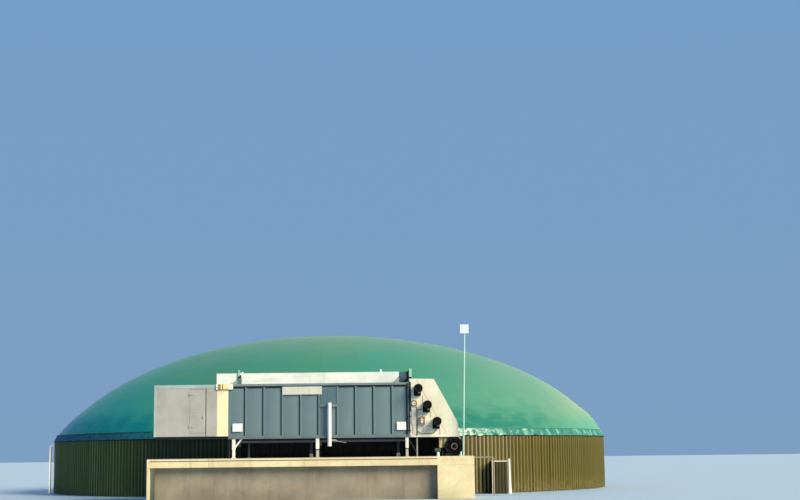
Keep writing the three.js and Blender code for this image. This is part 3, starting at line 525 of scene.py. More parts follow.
# Each finish: the record's slot that it belongs to, its function, and the function's values, which
# for paint are its fresh, faded and dirty colours, its roughness, and how much rust and how many
# streaks it has
FINISHES = {
    "membrane": ("membrane", membrane),
    "skirt_membrane": ("membrane", skirt_membrane),
    "hose_fabric": ("membrane", hose_fabric),
    "cladding_paint": ("cladding", cladding_paint),
    # Painted shade: the service box's front darkened
    "box_paint": ("cladding", paint, "3a340c", "484015", "14140a", 0.55, 0.06, 0.5),
    "pale_concrete": ("concrete", concrete, "eadcae", "d3c597", "a29070", "e8b98c"),
    "shaded_concrete": ("concrete_shaded", concrete, "a09580", "857a68", "5e5547", "9a8468"),
    "galvanised": ("galvanised", zinc, "c3beb0", "b2ada0", "988f7e"),
    # Painted sky reflection: a paler copy of galvanised for the housing's trims
    "pale_galvanised": ("galvanised", zinc, "bbcdc1", "abbdb1", "9aa395"),
    "hub_steel": ("galvanised", paint, "6a6454", "797260", "3a352c", 0.5, 0.2, 0.5),
    "guard_steel": ("galvanised", paint, "8d8570", "9c947c", "3a352c", 0.5, 0.2, 0.5),
    "bin_paint": ("bin_paint", bin_paint),
    "flap_paint": ("bin_paint", flap_paint),
    "slate_paint": ("bin_paint", paint, "3a4d5c", "5d7788", "20282f", 0.4, 0.05, 0.5),
    "rail_paint": ("bin_paint", paint, "6e7e7c", "7c8a85", "4f5a57", 0.42, 0.06, 0.3),
    "shadow_paint": ("bin_paint", paint, "24403c", "2c4843", "1a2624", 0.6, 0.04, 0.3),
    "backing_paint": ("bin_paint", paint, "4c646c", "587078", "3b4a50", 0.42, 0.05, 0.3),
    "gusset_paint": ("bin_paint", paint, "8c9a96", "9aa7a2", "6d7a76", 0.5, 0.06, 0.3),
    "cream_paint": ("cream_paint", paint, "e6e3c2", "f6efd6", "cdbb92", 0.42, 0.08, 0.2),
    "cover_cream": ("cream_paint", cover_cream),
    "rusty_cream": ("cream_paint", rusty_cream),
    "streaked_cream": ("cream_paint", streaked_cream),
    "housing_cream": ("cream_paint", paint, "dddabc", "f0e9d2", "bfae8a", 0.45, 0.08, 0.3),
    "brown_paint": ("cream_paint", paint, "7d6450", "8f7763", "4a3626", 0.5, 0.3, 0.5),
    "pale_conduit": ("cream_paint", paint, "b7a17c", "c4b08c", "8b7557", 0.5, 0.1, 0.4),
    "name_board_paint": ("cream_paint", paint, "c9c9b6", "d3d1bd", "a8a38c", 0.5, 0.05, 0.3),
    "duct_paint": ("white_paint", paint, "d2c8b4", "ddd3c0", "b3a08a", 0.5, 0.08, 0.4),
    "white_paint": ("white_paint", paint, "e8e8e2", "f3f2ec", "b7b2a2", 0.38, 0.12, 0.3),
    "board_paint": ("white_paint", board_paint),
    "leg_paint": ("white_paint", paint, "dedfd9", "e9e9e2", "9b968a", 0.42, 0.1, 0.4),
    "foot_paint": ("white_paint", paint, "aaa9a3", "b8b6af", "7d7a71", 0.45, 0.1, 0.4),
    "pole_paint": ("white_paint", paint, "9ac2b1", "a9ccbc", "83968a", 0.45, 0.08, 0.3),
    "prop_paint": ("white_paint", paint, "898583", "96928f", "5e5b58", 0.5, 0.08, 0.3),
    "dark_paint": ("dark_steel", paint, "1b1f27", "262b33", "0e1013", 0.5, 0.06, 0.4),
    # Painted shade: near-black for the deep shade behind the rear legs and under the top rail
    "guard_paint": ("dark_steel", paint, "06080f", "0c0f18", "040508", 0.6, 0.04, 0.4),
    "girder_paint": ("dark_steel", paint, "5a5866", "686573", "35333c", 0.5, 0.08, 0.4),
    "black_paint": ("motor_black", black_paint),
    "conduit_paint": ("motor_black", paint, "54432f", "6b573d", "2e2418", 0.5, 0.1, 0.4),
    "rubber": ("motor_black", rubber),
    "pump_paint": ("pump_green", paint, "33523f", "42614d", "2a382e", 0.4, 0.1, 0.3),
    "white_plastic": ("white_plastic", white_plastic),
    "lamp_glass": ("white_plastic", lamp_glass),
}


@functools.cache
def material(name):
    """A finish of the table, built when it is first asked for"""
    _, build, *values = FINISHES[name]
    finish = Finish(name)
    build(finish, *values)
    return finish.material


def clear_selection():
    if bpy.context.object and bpy.context.object.mode != "OBJECT":
        bpy.ops.object.mode_set(mode="OBJECT")
    bpy.ops.object.select_all(action="DESELECT")


def activate(piece):
    clear_selection()
    piece.select_set(True)
    bpy.context.view_layer.objects.active = piece


def edit(piece, kind="FACE"):
    activate(piece)
    bpy.ops.object.mode_set(mode="EDIT")
    bpy.ops.mesh.select_mode(type=kind)
    bpy.ops.mesh.select_all(action="DESELECT")


def take_all():
    bpy.ops.mesh.select_all(action="SELECT")


def extrude(step):
    bpy.ops.mesh.extrude_region_move(TRANSFORM_OT_translate={"value": step})


def pick(piece, test):
    """In edit mode, selects the faces, edges or vertices that pass a test"""
    bpy.ops.mesh.select_all(action="DESELECT")
    mesh = bmesh.from_edit_mesh(piece.data)
    mode = bpy.context.tool_settings.mesh_select_mode
    parts = mesh.verts if mode[0] else mesh.edges if mode[1] else mesh.faces
    for part in parts:
        if test(part):
            part.select_set(True)
    bmesh.update_edit_mesh(piece.data)


def apply_place():
    bpy.ops.object.transform_apply(location=True, rotation=True, scale=True)


def outward(piece):
    """Turns the faces of a closed piece outwards"""
    edit(piece)
    take_all()
    bpy.ops.mesh.normals_make_consistent(inside=False)
    clear_selection()
    return piece


def block(low, high, edge=0.0, segments=2):
    """A box between two corners, with its edges rounded"""
    clear_selection()
    middle = [(a + b) / 2 for a, b in zip(low, high)]
    size = [b - a for a, b in zip(low, high)]
    bpy.ops.mesh.primitive_cube_add(size=1, location=middle, scale=size)
    piece = bpy.context.object
    apply_place()
    if edge:
        edit(piece, "EDGE")
        take_all()
        bpy.ops.mesh.bevel(offset=edge, segments=segments, affect="EDGES")
        clear_selection()
    return piece


def slat(x, half, start, end, edge=0.0, segments=2):
    """A block that reaches equally far to both sides of x, between two places back and up"""
    return block((x - half, *start), (x + half, *end), edge, segments)


def within(low, high, first, second, edge=0.0, segments=2):
    """A block inside a box. Its first corner counts from the low sides and its second from the high
    sides, but a number that would point out of the box counts from the other side."""
    start = [(b if n < 0 else a) + n for a, b, n in zip(low, high, first)]
    end = [(a if n > 0 else b) + n for a, b, n in zip(low, high, second)]
    return block(start, end, edge, segments)


def rod(start, end, radius, sides=16, edge=0.0):
    """A round bar between two points"""
    clear_selection()
    start, end = Vector(start), Vector(end)
    along = end - start
    turn = UP.rotation_difference(along).to_euler()
    bpy.ops.mesh.primitive_cylinder_add(
        vertices=sides, radius=radius, depth=along.length, location=(start + end) / 2, rotation=turn)
    piece = bpy.context.object
    apply_place()
    if edge:
        edit(piece)
        pick(piece, lambda face: len(face.verts) > 4)
        bpy.ops.mesh.bevel(offset=edge, segments=2, affect="EDGES")
        clear_selection()
    return piece


def drum(x, z, start, end, radius, sides=16, edge=0.0):
    """A round bar along Y"""
    return rod((x, start, z), (x, end, z), radius, sides, edge)


def upright(x, y, bottom, top, radius, sides=16, edge=0.0):
    """A round bar along Z"""
    return rod((x, y, bottom), (x, y, top), radius, sides, edge)


def turned(profile, sides):
    """A circle extruded and scaled from point to point of a profile of radius and height"""
    clear_selection()
    (radius, height), *rest = profile
    bpy.ops.mesh.primitive_circle_add(vertices=sides, radius=radius, location=(0, 0, height))
    piece = bpy.context.object
    apply_place()
    edit(piece, "VERT")
    take_all()
    for next_radius, next_height in rest:
        extrude((0, 0, next_height - height))
        scale = next_radius / radius
        bpy.ops.transform.resize(value=(scale, scale, 1), center_override=(0, 0, next_height))
        radius, height = next_radius, next_height
    take_all()
    bpy.ops.mesh.remove_doubles(threshold=1e-5)
    clear_selection()
    return piece


def move(piece, offset=(0, 0, 0), rotation=(0, 0, 0)):
    """Turns a piece about the origin and then moves it"""
    activate(piece)
    piece.rotation_euler = rotation
    piece.location = offset
    apply_place()
    return piece


def modifier(piece, kind, **settings):
    """Adds a modifier with its settings and applies it"""
    activate(piece)
    made = piece.modifiers.new(kind.lower(), kind)
    for key, value in settings.items():
        setattr(made, key, value)
    bpy.ops.object.modifier_apply(modifier=made.name)
    return piece


def row_of(piece, count, step):
    """Repeats a piece in a straight line"""
    settings = {"use_relative_offset": False, "use_constant_offset": True}
    return modifier(piece, "ARRAY", count=count, constant_offset_displace=step, **settings)


def ring_of(piece, count):
    """Repeats a piece round the tank's axis"""
    clear_selection()
    bpy.ops.object.empty_add(rotation=(0, 0, 2 * pi / count))
    pivot = bpy.context.object
    settings = {"use_relative_offset": False, "use_object_offset": True}
    modifier(piece, "ARRAY", count=count, offset_object=pivot, **settings)
    bpy.data.objects.remove(pivot)
    return piece


def join(pieces):
    clear_selection()
    for piece in pieces:
        piece.select_set(True)
    bpy.context.view_layer.objects.active = pieces[0]
    bpy.ops.object.join()
    return bpy.context.object


def drawn(points):
    """A line through points, in edit mode and selected all over"""
    clear_selection()
    points = [Vector(point) for point in points]
    bpy.ops.mesh.primitive_plane_add(size=2, location=points[0])
    piece = bpy.context.object
    apply_place()
    edit(piece, "VERT")
    pick(piece, lambda vertex: vertex.index > 0)
    bpy.ops.mesh.delete(type="VERT")
    take_all()
    bpy.ops.transform.translate(value=(1, 1, 0))
    for start, end in zip(points, points[1:]):
        extrude(end - start)
    take_all()
    return piece


def outline(points, along):
    """A flat outline through points, filled and pulled along a direction"""
    piece = drawn(points)
    bpy.ops.mesh.edge_face_add()
    take_all()
    extrude(along)
    return outward(piece)


def folded(points, along, thickness, cuts=0):
    """A sheet bent from point to point and pulled along a direction"""
    piece = drawn(points)
    for _ in range(cuts + 1):
        extrude(Vector(along) / (cuts + 1))
    return modifier(outward(piece), "SOLIDIFY", thickness=thickness, offset=0)


def standing(points, bottom, top, thickness, cuts=0):
    """An upright sheet along a line of places across and back"""
    return folded([(x, y, bottom) for x, y in points], (0, 0, top - bottom), thickness, cuts)


def waves(left, right, count, valley, crest, turns):
    """A line with even ribs, each of which folds at four shares of its pitch"""
    step = (right - left) / count
    line = [(left, valley)]
    for i in range(count):
        x = left + i * step
        line += [(x + step * share, y) for share, y in zip(turns, (valley, crest, crest, valley))]
    return [*line, (right, valley)]


def channel(left, right, tips, web, bottom, top, thickness=0.006):
    """A C-shaped bar along X, from the tips of its arms to its web"""
    corners = [(left, tips, bottom), (left, web, bottom), (left, web, top), (left, tips, top)]
    return folded(corners, (right - left, 0, 0), thickness)


def plate(points, front, back):
    """An outline of places across and up, between a front and a back"""
    return outline([(x, front, z) for x, z in points], (0, back - front, 0))


def softened(piece, width, segments=2):
    """Rounds the edges that turn by more than 30 degrees"""
    settings = {"limit_method": "ANGLE", "angle_limit": radians(30)}
    return modifier(piece, "BEVEL", width=width, segments=segments, **settings)


def panel(low, high, dent, cuts, seed):
    """An upright sheet with a little unevenness on its front"""
    piece = block(low, high, 0.004, 1)
    edit(piece)
    pick(piece, lambda face: abs(face.normal.y) > 0.9)
    bpy.ops.mesh.subdivide(number_cuts=cuts)
    clear_selection()
    middle = [(a + b) / 2 for a, b in zip(low, high)]
    reach = [(b - a) / 2 for a, b in zip(low, high)]
    for vertex in piece.data.vertices:
        place = vertex.co
        across, up = ((place[i] - middle[i]) / reach[i] for i in (0, 2))
        inside = max(0, (1 - across ** 2) * (1 - up ** 2))
        place.y += dent * inside ** 0.5 * noise(place * 1.7 + Vector((seed, 0, 0)))
    return piece


def bent(points, radius, bend=0.05, sides=3):
    """A round tube through points, with rounded corners"""
    clear_selection()
    points = [Vector(point) for point in points]
    path = [points[0]]
    for before, corner, after in zip(points, points[1:], points[2:]):
        enter = corner + (before - corner).normalized() * bend
        leave = corner + (after - corner).normalized() * bend
        for t in (0, 0.25, 0.5, 0.75, 1):
            path.append(enter * (1 - t) ** 2 + corner * 2 * t * (1 - t) + leave * t ** 2)
    path.append(points[-1])
    curve = bpy.data.curves.new("tube", "CURVE")
    curve.dimensions = "3D"
    curve.bevel_depth = radius
    curve.bevel_resolution = sides
    curve.use_fill_caps = True
    spline = curve.splines.new("POLY")
    spline.points.add(len(path) - 1)
    for point, place in zip(spline.points, path):
        point.co = (*place, 1)
    piece = bpy.data.objects.new("tube", curve)
    bpy.context.collection.objects.link(piece)
    activate(piece)
    bpy.ops.object.convert(target="MESH")
    return outward(bpy.context.object)


def bolts(places, radius=0.014, height=0.012, facing=FORWARD):
    """Bolt heads on washers, at places, facing one way"""
    facing = Vector(facing)
    pieces = []
    for place in places:
        seat = Vector(place) + facing * height * 0.25
        pieces.append(rod(place, seat, radius * 1.7, 10))
        pieces.append(rod(seat, Vector(place) + facing * height, radius, 6))
    return join(pieces)


def bolt_grid(columns, front, rows, radius, height):
    """Bolts on a front, where columns and rows cross"""
    return bolts([(x, front, z) for x in columns for z in rows], radius, height)


def around(piece, count, centre, axis="Y"):
    """Repeats a piece round a centre, each copy with its own mesh"""
    pieces = [piece]
    for i in range(1, count):
        turn = Matrix.Rotation(2 * pi * i / count, 3, axis)
        twin = piece.copy()
        twin.data = piece.data.copy()
        bpy.context.collection.objects.link(twin)
        pieces.append(move(twin, Vector(centre) - turn @ Vector(centre), turn.to_euler()))
    return join(pieces)


def sunk(piece, *steps):
    """Insets the front face of a piece, and pushes it back after each inset"""
    largest = max(face.area for face in piece.data.polygons if face.normal.y < -0.95)
    edit(piece)
    pick(piece, lambda face: face.normal.y < -0.95 and face.calc_area() > largest * 0.99)
    for inset, push in steps:
        bpy.ops.mesh.inset(thickness=inset)
        bpy.ops.transform.translate(value=(0, push, 0))
    clear_selection()
    return piece


def groove(piece, axis, at, width, depth, across):
    """A shallow joint round a cast wall, cut in and pressed down"""
    sides = [vertex.co[across] for vertex in piece.data.vertices]
    edit(piece, "VERT")
    for nudge in (-width, 0, width):
        place, normal = Vector(), Vector()
        place[axis] = at + nudge
        normal[axis] = 1
        take_all()
        bpy.ops.mesh.bisect(plane_co=place, plane_no=normal)
    for side, sign in ((min(sides), 1), (max(sides), -1)):
        pick(piece, lambda v: abs(v.co[axis] - at) < 1e-4 and abs(v.co[across] - side) < 1e-4)
        shift = Vector()
        shift[across] = sign * depth
        bpy.ops.transform.translate(value=shift)
    clear_selection()
    return piece


def settle(piece, name, finish, replaces=(), slot=None, body="root", smooth=35):
    """Names a piece or the joined pieces of a list, with its finish, and hangs it on its body. The slot is
    not used.
    """
    piece = join(piece) if isinstance(piece, list) else piece
    piece.name = name
    piece.data.name = name
    activate(piece)
    apply_place()
    bpy.ops.object.shade_smooth_by_angle(angle=radians(smooth))
    if smooth < 50:
        modifier(piece, "WEIGHTED_NORMAL", keep_sharp=True)
    piece.data.materials.clear()
    piece.data.materials.append(material(finish))
    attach(piece, body)
    if replaces:
        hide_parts(*replaces)
    return piece


class DigesterSizes(PropertyGroup):
    """Sizes of the fine work that the frame leaves to the surface"""

    gores: bpy.props.IntProperty(name="Gores", description="Welded strips round the dome", default=36, min=8)
    sheets: bpy.props.IntProperty(
        name="Sheets", description="Cladding sheets round the tank", default=80, min=8)
    ribs: bpy.props.IntProperty(
        name="Ribs", description="Upright ribs round the cladding", default=424, min=40)
    rib_depth: bpy.props.FloatProperty(
        name="Rib depth", description="Depth of the cladding's ribs", default=0.035, unit="LENGTH")
    fold_depth: bpy.props.FloatProperty(
        name="Fold depth", description="How far the skirt's folds stand out", default=0.045, unit="LENGTH")
    fold_pitch: bpy.props.FloatProperty(
        name="Fold pitch", description="Distance between the skirt's folds", default=0.5, unit="LENGTH")


class DIGESTER_OT_gas_dome(Operator):
    """Membrane dome, from the seam to the crown"""
    bl_idname = "digester.gas_dome"
    bl_label = "Gas dome"

    def execute(self, context):
        low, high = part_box("gas_dome")
        seam_radius, rise = high.x, high.z - low.z
        gores = context.scene.digester_sizes.gores
        tall = rise / (1 - DOME_SINK)
        reach = seam_radius / sqrt(1 - DOME_SINK ** 2)
        first = asin(DOME_SINK)
        rings = 44
        profile = []
        for i in range(rings + 1):
            angle = first + (pi / 2 - first) * (i / rings)
            radius = reach * cos(angle) if i < rings else 0
            profile.append((radius, low.z + tall * (sin(angle) - DOME_SINK)))
        dome = outward(turned(profile, 288))
        for vertex in dome.data.vertices:
            place = vertex.co
            radius = hypot(place.x, place.y)
            if radius < 0.01:
                continue
            near_seam = max(0.0, 1 - (seam_radius - radius) / 2.5)
            calm = min(1.0, (seam_radius - radius) / 0.4)
            wave = noise(place * 0.35) * 0.03 * calm
            pucker = 0.012 * near_seam * calm * sin(gores * 2 * atan2(place.y, place.x))
            place *= 1 + (wave + pucker - 0.02 * calm) / place.length
            flare = max(0.0, 1 - (place.z - low.z) / 1.3) ** 2 * (SEAM_RADIUS - seam_radius)
            share = min(1.0, max(0.0, (place.z - low.z) / 1.5))
            flare += (0.085 + 0.03 * place.x / seam_radius) * sin(pi * share) ** 2
            place.x *= 1 + flare / radius
            place.y *= 1 + flare / radius
            lean = min(1.0, max(0.0, (place.z - low.z) / rise))
            place.x += 0.12 * sin(pi * lean)
        settle(dome, "gas_dome_membrane", "membrane", ["gas_dome"], smooth=60)
        area = pi * sum((a[0] + b[0]) * dist(a, b) for a, b in zip(profile, profile[1:]))
        return {"FINISHED"}


class DIGESTER_OT_skirt(Operator):
    """Hem of the membrane, folded over the cladding's top edge"""
    bl_idname = "digester.skirt"
    bl_label = "Skirt"

    def execute(self, context):
        sizes = context.scene.digester_sizes
        low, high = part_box("skirt")
        profile = []
        for i in range(13):
            share = i / 12
            profile.append((SEAM_RADIUS + 0.006 + (HEM_RADIUS - SEAM_RADIUS) * share ** 1.1,
                            high.z + (low.z + 0.006 - high.z) * share))
        hem = turned(profile, 1440)
        drop = high.z - low.z
        for vertex in hem.data.vertices:
            place = vertex.co
            radius = hypot(place.x, place.y)
            angle = atan2(place.y, place.x)
            share = min(1.0, max(0.0, (high.z - place.z) / drop))
            ring = Vector((cos(angle), sin(angle), 0))
            along = angle * HEM_RADIUS / sizes.fold_pitch
            drift = noise(ring * 22) * 6
            size = max(0.1, 0.6 + 1.1 * noise(ring * 30 + UP))
            fold = (0.5 + 0.5 * sin(2 * pi * along + drift)) ** 2
            small = 0.5 + 0.5 * sin(2 * pi * along * 2.7 + drift * 2)
            reach = min(1.0, share * 1.6) * (1 - 0.4 * share)
            out = reach * (sizes.fold_depth * fold * size + 0.01 * small)
            out += 0.026 * reach * noise(Vector((place.x, place.y, place.z * 2)) * 2.6)
            out += 0.01 * reach * noise(Vector((place.x, place.y, place.z * 3)) * 6.5)
            scale = (radius + out) / radius
            place.x *= scale
            place.y *= scale
            if share > 0.9:
                place.z += 0.026 * (fold - 0.5) + 0.024 * noise(ring * 40 + UP * 2)
        quarters = quarter(hem)
        for i, piece in enumerate(quarters):
            modifier(piece, "SOLIDIFY", thickness=0.003, offset=1)
            settle(piece, f"skirt_{i + 1}", "skirt_membrane", ["skirt"], smooth=70)
        return {"FINISHED"}


def quarter(ring):
    """Splits a ring about the tank's axis into four pieces, by the angle of its faces"""
    pieces = []
    for i in range(3):
        edit(ring)
        limit = (i + 1) * pi / 2

        def before(face, limit=limit):
            centre = face.calc_center_median()
            return atan2(centre.y, centre.x) % (2 * pi) < limit
        pick(ring, before)
        bpy.ops.mesh.separate(type="SELECTED")
        clear_selection()
        known = {ring, *pieces}
        fresh = [o for o in bpy.context.scene.objects if o.type == "MESH" and o.name.startswith(ring.name)]
        pieces.extend(o for o in fresh if o not in known)
    return [*pieces, ring]


class DIGESTER_OT_seam(Operator):
    """Clamping hose that grips the membrane on the wall's top"""
    bl_idname = "digester.seam"
    bl_label = "Seam"

    def execute(self, context):
        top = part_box("skirt")[1].z
        centre = SEAM_RADIUS + 0.01
        hose_radius = 0.016
        profile = []
        for i in range(9):
            angle = 2 * pi * i / 8
            profile.append((centre + hose_radius * cos(angle), top + hose_radius * (1 + sin(angle))))
        hose = outward(turned(profile, 360))
        settle(hose, "clamp_hose", "hose_fabric", smooth=80)
        return {"FINISHED"}


class DIGESTER_OT_cladding(Operator):
    """Ribbed sheet round the tank, with its screws"""
    bl_idname = "digester.cladding"
    bl_label = "Cladding"

    def execute(self, context):
        sizes = context.scene.digester_sizes
        low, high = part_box("cladding_1")
        crest = high.x - 0.03
        valley = crest - sizes.rib_depth
        clear_selection()
        bpy.ops.mesh.primitive_circle_add(vertices=4 * sizes.ribs, radius=crest, location=(0, 0, low.z))
        sheet = bpy.context.object
        apply_place()
        step = 2 * pi / (4 * sizes.ribs)
        edit(sheet, "VERT")

        def corner(number):
            """Tells the vertices of one corner of the rib's outline"""
            def test(vertex):
                return round(atan2(vertex.co.y, vertex.co.x) / step) % 4 == number
            return test
        for number, nudge in ((0, -0.4), (1, 0.4)):
            pick(sheet, corner(number))
            scale = valley / crest
            bpy.ops.transform.resize(value=(scale, scale, 1), center_override=(0, 0, low.z))
            turn_about_axis(sheet, nudge * step)
        for number, nudge in ((2, 0.12), (3, -0.12)):
            pick(sheet, corner(number))
            turn_about_axis(sheet, nudge * step)
        take_all()
        extrude((0, 0, high.z - low.z))
        clear_selection()
        softened(outward(sheet), 0.007)
        for i, piece in enumerate(quarter(sheet)):
            modifier(piece, "SOLIDIFY", thickness=0.003, offset=-1)
            settle(piece, f"cladding_sheets_{i + 1}", "cladding_paint", [f"cladding_{i + 1}"], smooth=50)
        screw = rod((valley - 0.002, 0, 0.25), (valley + 0.005, 0, 0.25), 0.007, 6)
        screw = row_of(screw, 3, (0, 0, 0.95))
        screw = move(screw, rotation=(0, 0, step * 0.5))
        screw = ring_of(screw, sizes.ribs)
        settle(screw, "cladding_screws", "cladding_paint")
        return {"FINISHED"}


def turn_about_axis(piece, angle):
    """Turns the selected vertices about the tank's axis"""
    mesh = bmesh.from_edit_mesh(piece.data)
    chosen = [vertex for vertex in mesh.verts if vertex.select]
    bmesh.ops.rotate(mesh, verts=chosen, cent=(0, 0, 0), matrix=Matrix.Rotation(angle, 3, "Z"))
    bmesh.update_edit_mesh(piece.data)


class DIGESTER_OT_deck(Operator):
    """Cast concrete deck with its walls"""
    bl_idname = "digester.deck"
    bl_label = "Concrete deck"

    def execute(self, context):
        for node in ("deck_slab", "deck_right_wall", "deck_left_wall", "deck_left_pillar", "deck_front_wall",
                     "deck_back_wall"):
            low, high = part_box(node)
            if node == "deck_right_wall":
                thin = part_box("deck_left_wall")[1].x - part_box("deck_left_wall")[0].x
                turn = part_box("deck_front_wall")[1].y
                side = block((high.x - thin, turn, low.z), (high.x, high.y, high.z), 0.014)
                settle(side, "deck_right_side_cast", "pale_concrete")
                high.y = turn
            wall = block(low, high, 0.014)
            size = high - low
            along = 0 if size.x > size.y else 1
            across = 1 - along
            count = max(1, round(size[along] / (2.1 if node == "deck_slab" else 1.25)))
            for i in range(1, count):
                groove(wall, along, low[along] + size[along] * i / count, 0.008, 0.007, across)
            shaded = node in ("deck_front_wall", "deck_back_wall")
            settle(wall, f"{node}_cast", "shaded_concrete" if shaded else "pale_concrete", [node])
        low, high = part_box("deck_slab")
        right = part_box("deck_right_wall")[0].x
        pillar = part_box("deck_left_pillar")[1].x
        angle = folded([(pillar, low.y + 0.07, high.z + 0.002), (pillar, low.y + 0.002, high.z + 0.002),
                        (pillar, low.y + 0.002, high.z - 0.07)], (right - pillar, 0, 0), 0.004)
        settle(softened(angle, 0.0015), "deck_edge_angle", "galvanised")
        # A dark strip under the edge angle: partly a joint, partly painted shadow of the angle
        seam = block((pillar, low.y - 0.001, high.z - 0.112), (right, low.y + 0.01, high.z - 0.072), 0.001, 1)
        settle(seam, "deck_edge_seam", "brown_paint", slot="concrete_shaded")
        return {"FINISHED"}


class DIGESTER_OT_bin(Operator):
    """Feed bin with ribbed long walls, rails, liner and floor slats"""
    bl_idname = "digester.bin"
    bl_label = "Feed bin"

    def execute(self, context):
        base_low, base_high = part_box("bin_base_frame")
        for side, node in ((1, "bin_front_wall"), (-1, "bin_back_wall")):
            low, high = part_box(node)
            face = low.y if side > 0 else high.y
            self.wall(node, low, high, face, side)
        for side, face in ((1, base_low.y), (-1, base_high.y)):
            rail = channel(base_low.x, base_high.x, face + side * 0.09, face + side * 0.003,
                           base_low.z + 0.003, base_high.z - 0.003)
            name = "bin_bottom_rail_front" if side > 0 else "bin_bottom_rail_back"
            settle(softened(rail, 0.002), name, "bin_paint", ["bin_base_frame"])
        ends = [block((x0, base_low.y + 0.01, base_low.z), (x0 + 0.1, base_high.y - 0.01, base_high.z), 0.008)
                for x0 in (base_low.x + 0.002, base_high.x - 0.102)]
        settle(ends, "bin_bottom_rail_ends", "bin_paint")
        self.rim(*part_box("bin_rim"))
        self.floor()
        self.plates(BIN_FRONT - 0.004)
        return {"FINISHED"}

    def rim(self, low, high):
        """Top rail of four bars, on a recessed neck: the recess is real, its near-black is painted shadow
        under the rail
        """
        width = 0.09
        lip = low.z + 0.042
        under = lip + 0.006
        rails = [block((low.x, y, lip), (high.x, y + width, high.z), 0.012, 3)
                 for y in (low.y, high.y - width)]
        rails += [block((x, low.y + width, lip), (x + width, high.y - width, high.z - 0.001), 0.012, 3)
                  for x in (low.x, high.x - width)]
        settle(rails, "bin_top_rail", "rail_paint", ["bin_rim"])
        # Painted shadow: near-black necks under the rail
        necks = [block((low.x + 0.07, y, low.z - 0.03), (high.x - 0.07, y + 0.02, under), 0.002, 1)
                 for y in (low.y + 0.034, high.y - 0.054)]
        necks += [block((x, low.y + 0.06, low.z), (x + 0.02, high.y - 0.06, under), 0.002, 1)
                  for x in (low.x + 0.055, high.x - 0.075)]
        settle(necks, "bin_rail_neck", "guard_paint", slot="bin_paint")

    def wall(self, node, low, high, face, side):
        skin = face + side * 0.055
        crest = face + side * 0.003
        points = [(low.x, crest), (low.x + 0.075, crest), (low.x + 0.088, skin)]
        for i in range(RIB_COUNT):
            x = FIRST_RIB + i * RIB_PITCH
            points += [(x - 0.035, skin), (x - 0.026, crest), (x + 0.026, crest), (x + 0.035, skin)]
        points += [(high.x - 0.088, skin), (high.x - 0.075, crest), (high.x, crest)]
        sheet = standing(points, low.z, high.z, 0.005, 7)
        for vertex in sheet.data.vertices:
            if abs(vertex.co.y - skin) < 0.01:
                vertex.co.y += side * 0.002
        near, far = sorted((skin + side * 0.006, skin + side * 0.024))
        liner = block((low.x + 0.08, near, low.z), (high.x - 0.08, far, high.z), 0.002, 1)
        feet = []
        near, far = min(skin, crest), max(skin, crest) - 0.002
        for i in range(RIB_COUNT):
            x = FIRST_RIB + i * RIB_PITCH
            feet.append(block((x + 0.03, near, low.z + 0.004), (x + 0.085, far, low.z + 0.022), 0.003, 1))
            feet.append(slat(x, 0.033, (near, high.z - 0.012), (far, high.z - 0.002), 0.002, 1))
        wall = [softened(sheet, 0.004), liner, *feet]
        settle(wall, f"{node}_sheets", "bin_paint", [node])
        # Painted shadows: dark strips beside the ribs
        rib_painted_shadows = []
        near, far = sorted((skin - side * 0.01, skin + side * 0.003))
        for i in range(RIB_COUNT + 1):
            x = FIRST_RIB + i * RIB_PITCH if i < RIB_COUNT else high.x - 0.062
            rib_painted_shadows.append(block((x - 0.08, near, low.z), (x - 0.034, far, high.z), 0.002, 1))
        settle(rib_painted_shadows, f"{node}_seals", "shadow_paint")

    def floor(self):
        low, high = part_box("bin_floor")
        pieces = [block(low, (high.x, high.y, high.z - 0.006), 0.002, 1)]
        count = 18
        step = (high.x - low.x) / count
        for i in range(count):
            x = low.x + step * (i + 0.5)
            pieces.append(slat(x, 0.04, (low.y + 0.06, high.z - 0.006), (high.y - 0.06, high.z), 0.002, 1))
        settle(pieces, "bin_floor_slats", "galvanised", ["bin_floor"])

    def plates(self, face):
        """Bare white reflector plates at the two ends of the front"""
        for i, (left, right) in enumerate(((-2.98, -2.585), (3.45, 3.81))):
            sheet = block((left, face - 0.004, 2.665), (right, face + 0.005, 2.98), 0.0015, 1)
            rivets = bolt_grid((left + 0.025, right - 0.025), face - 0.004, (2.69, 2.955), 0.006, 0.003)
            settle([sheet, rivets], f"reflector_{i + 1}", "white_plastic")


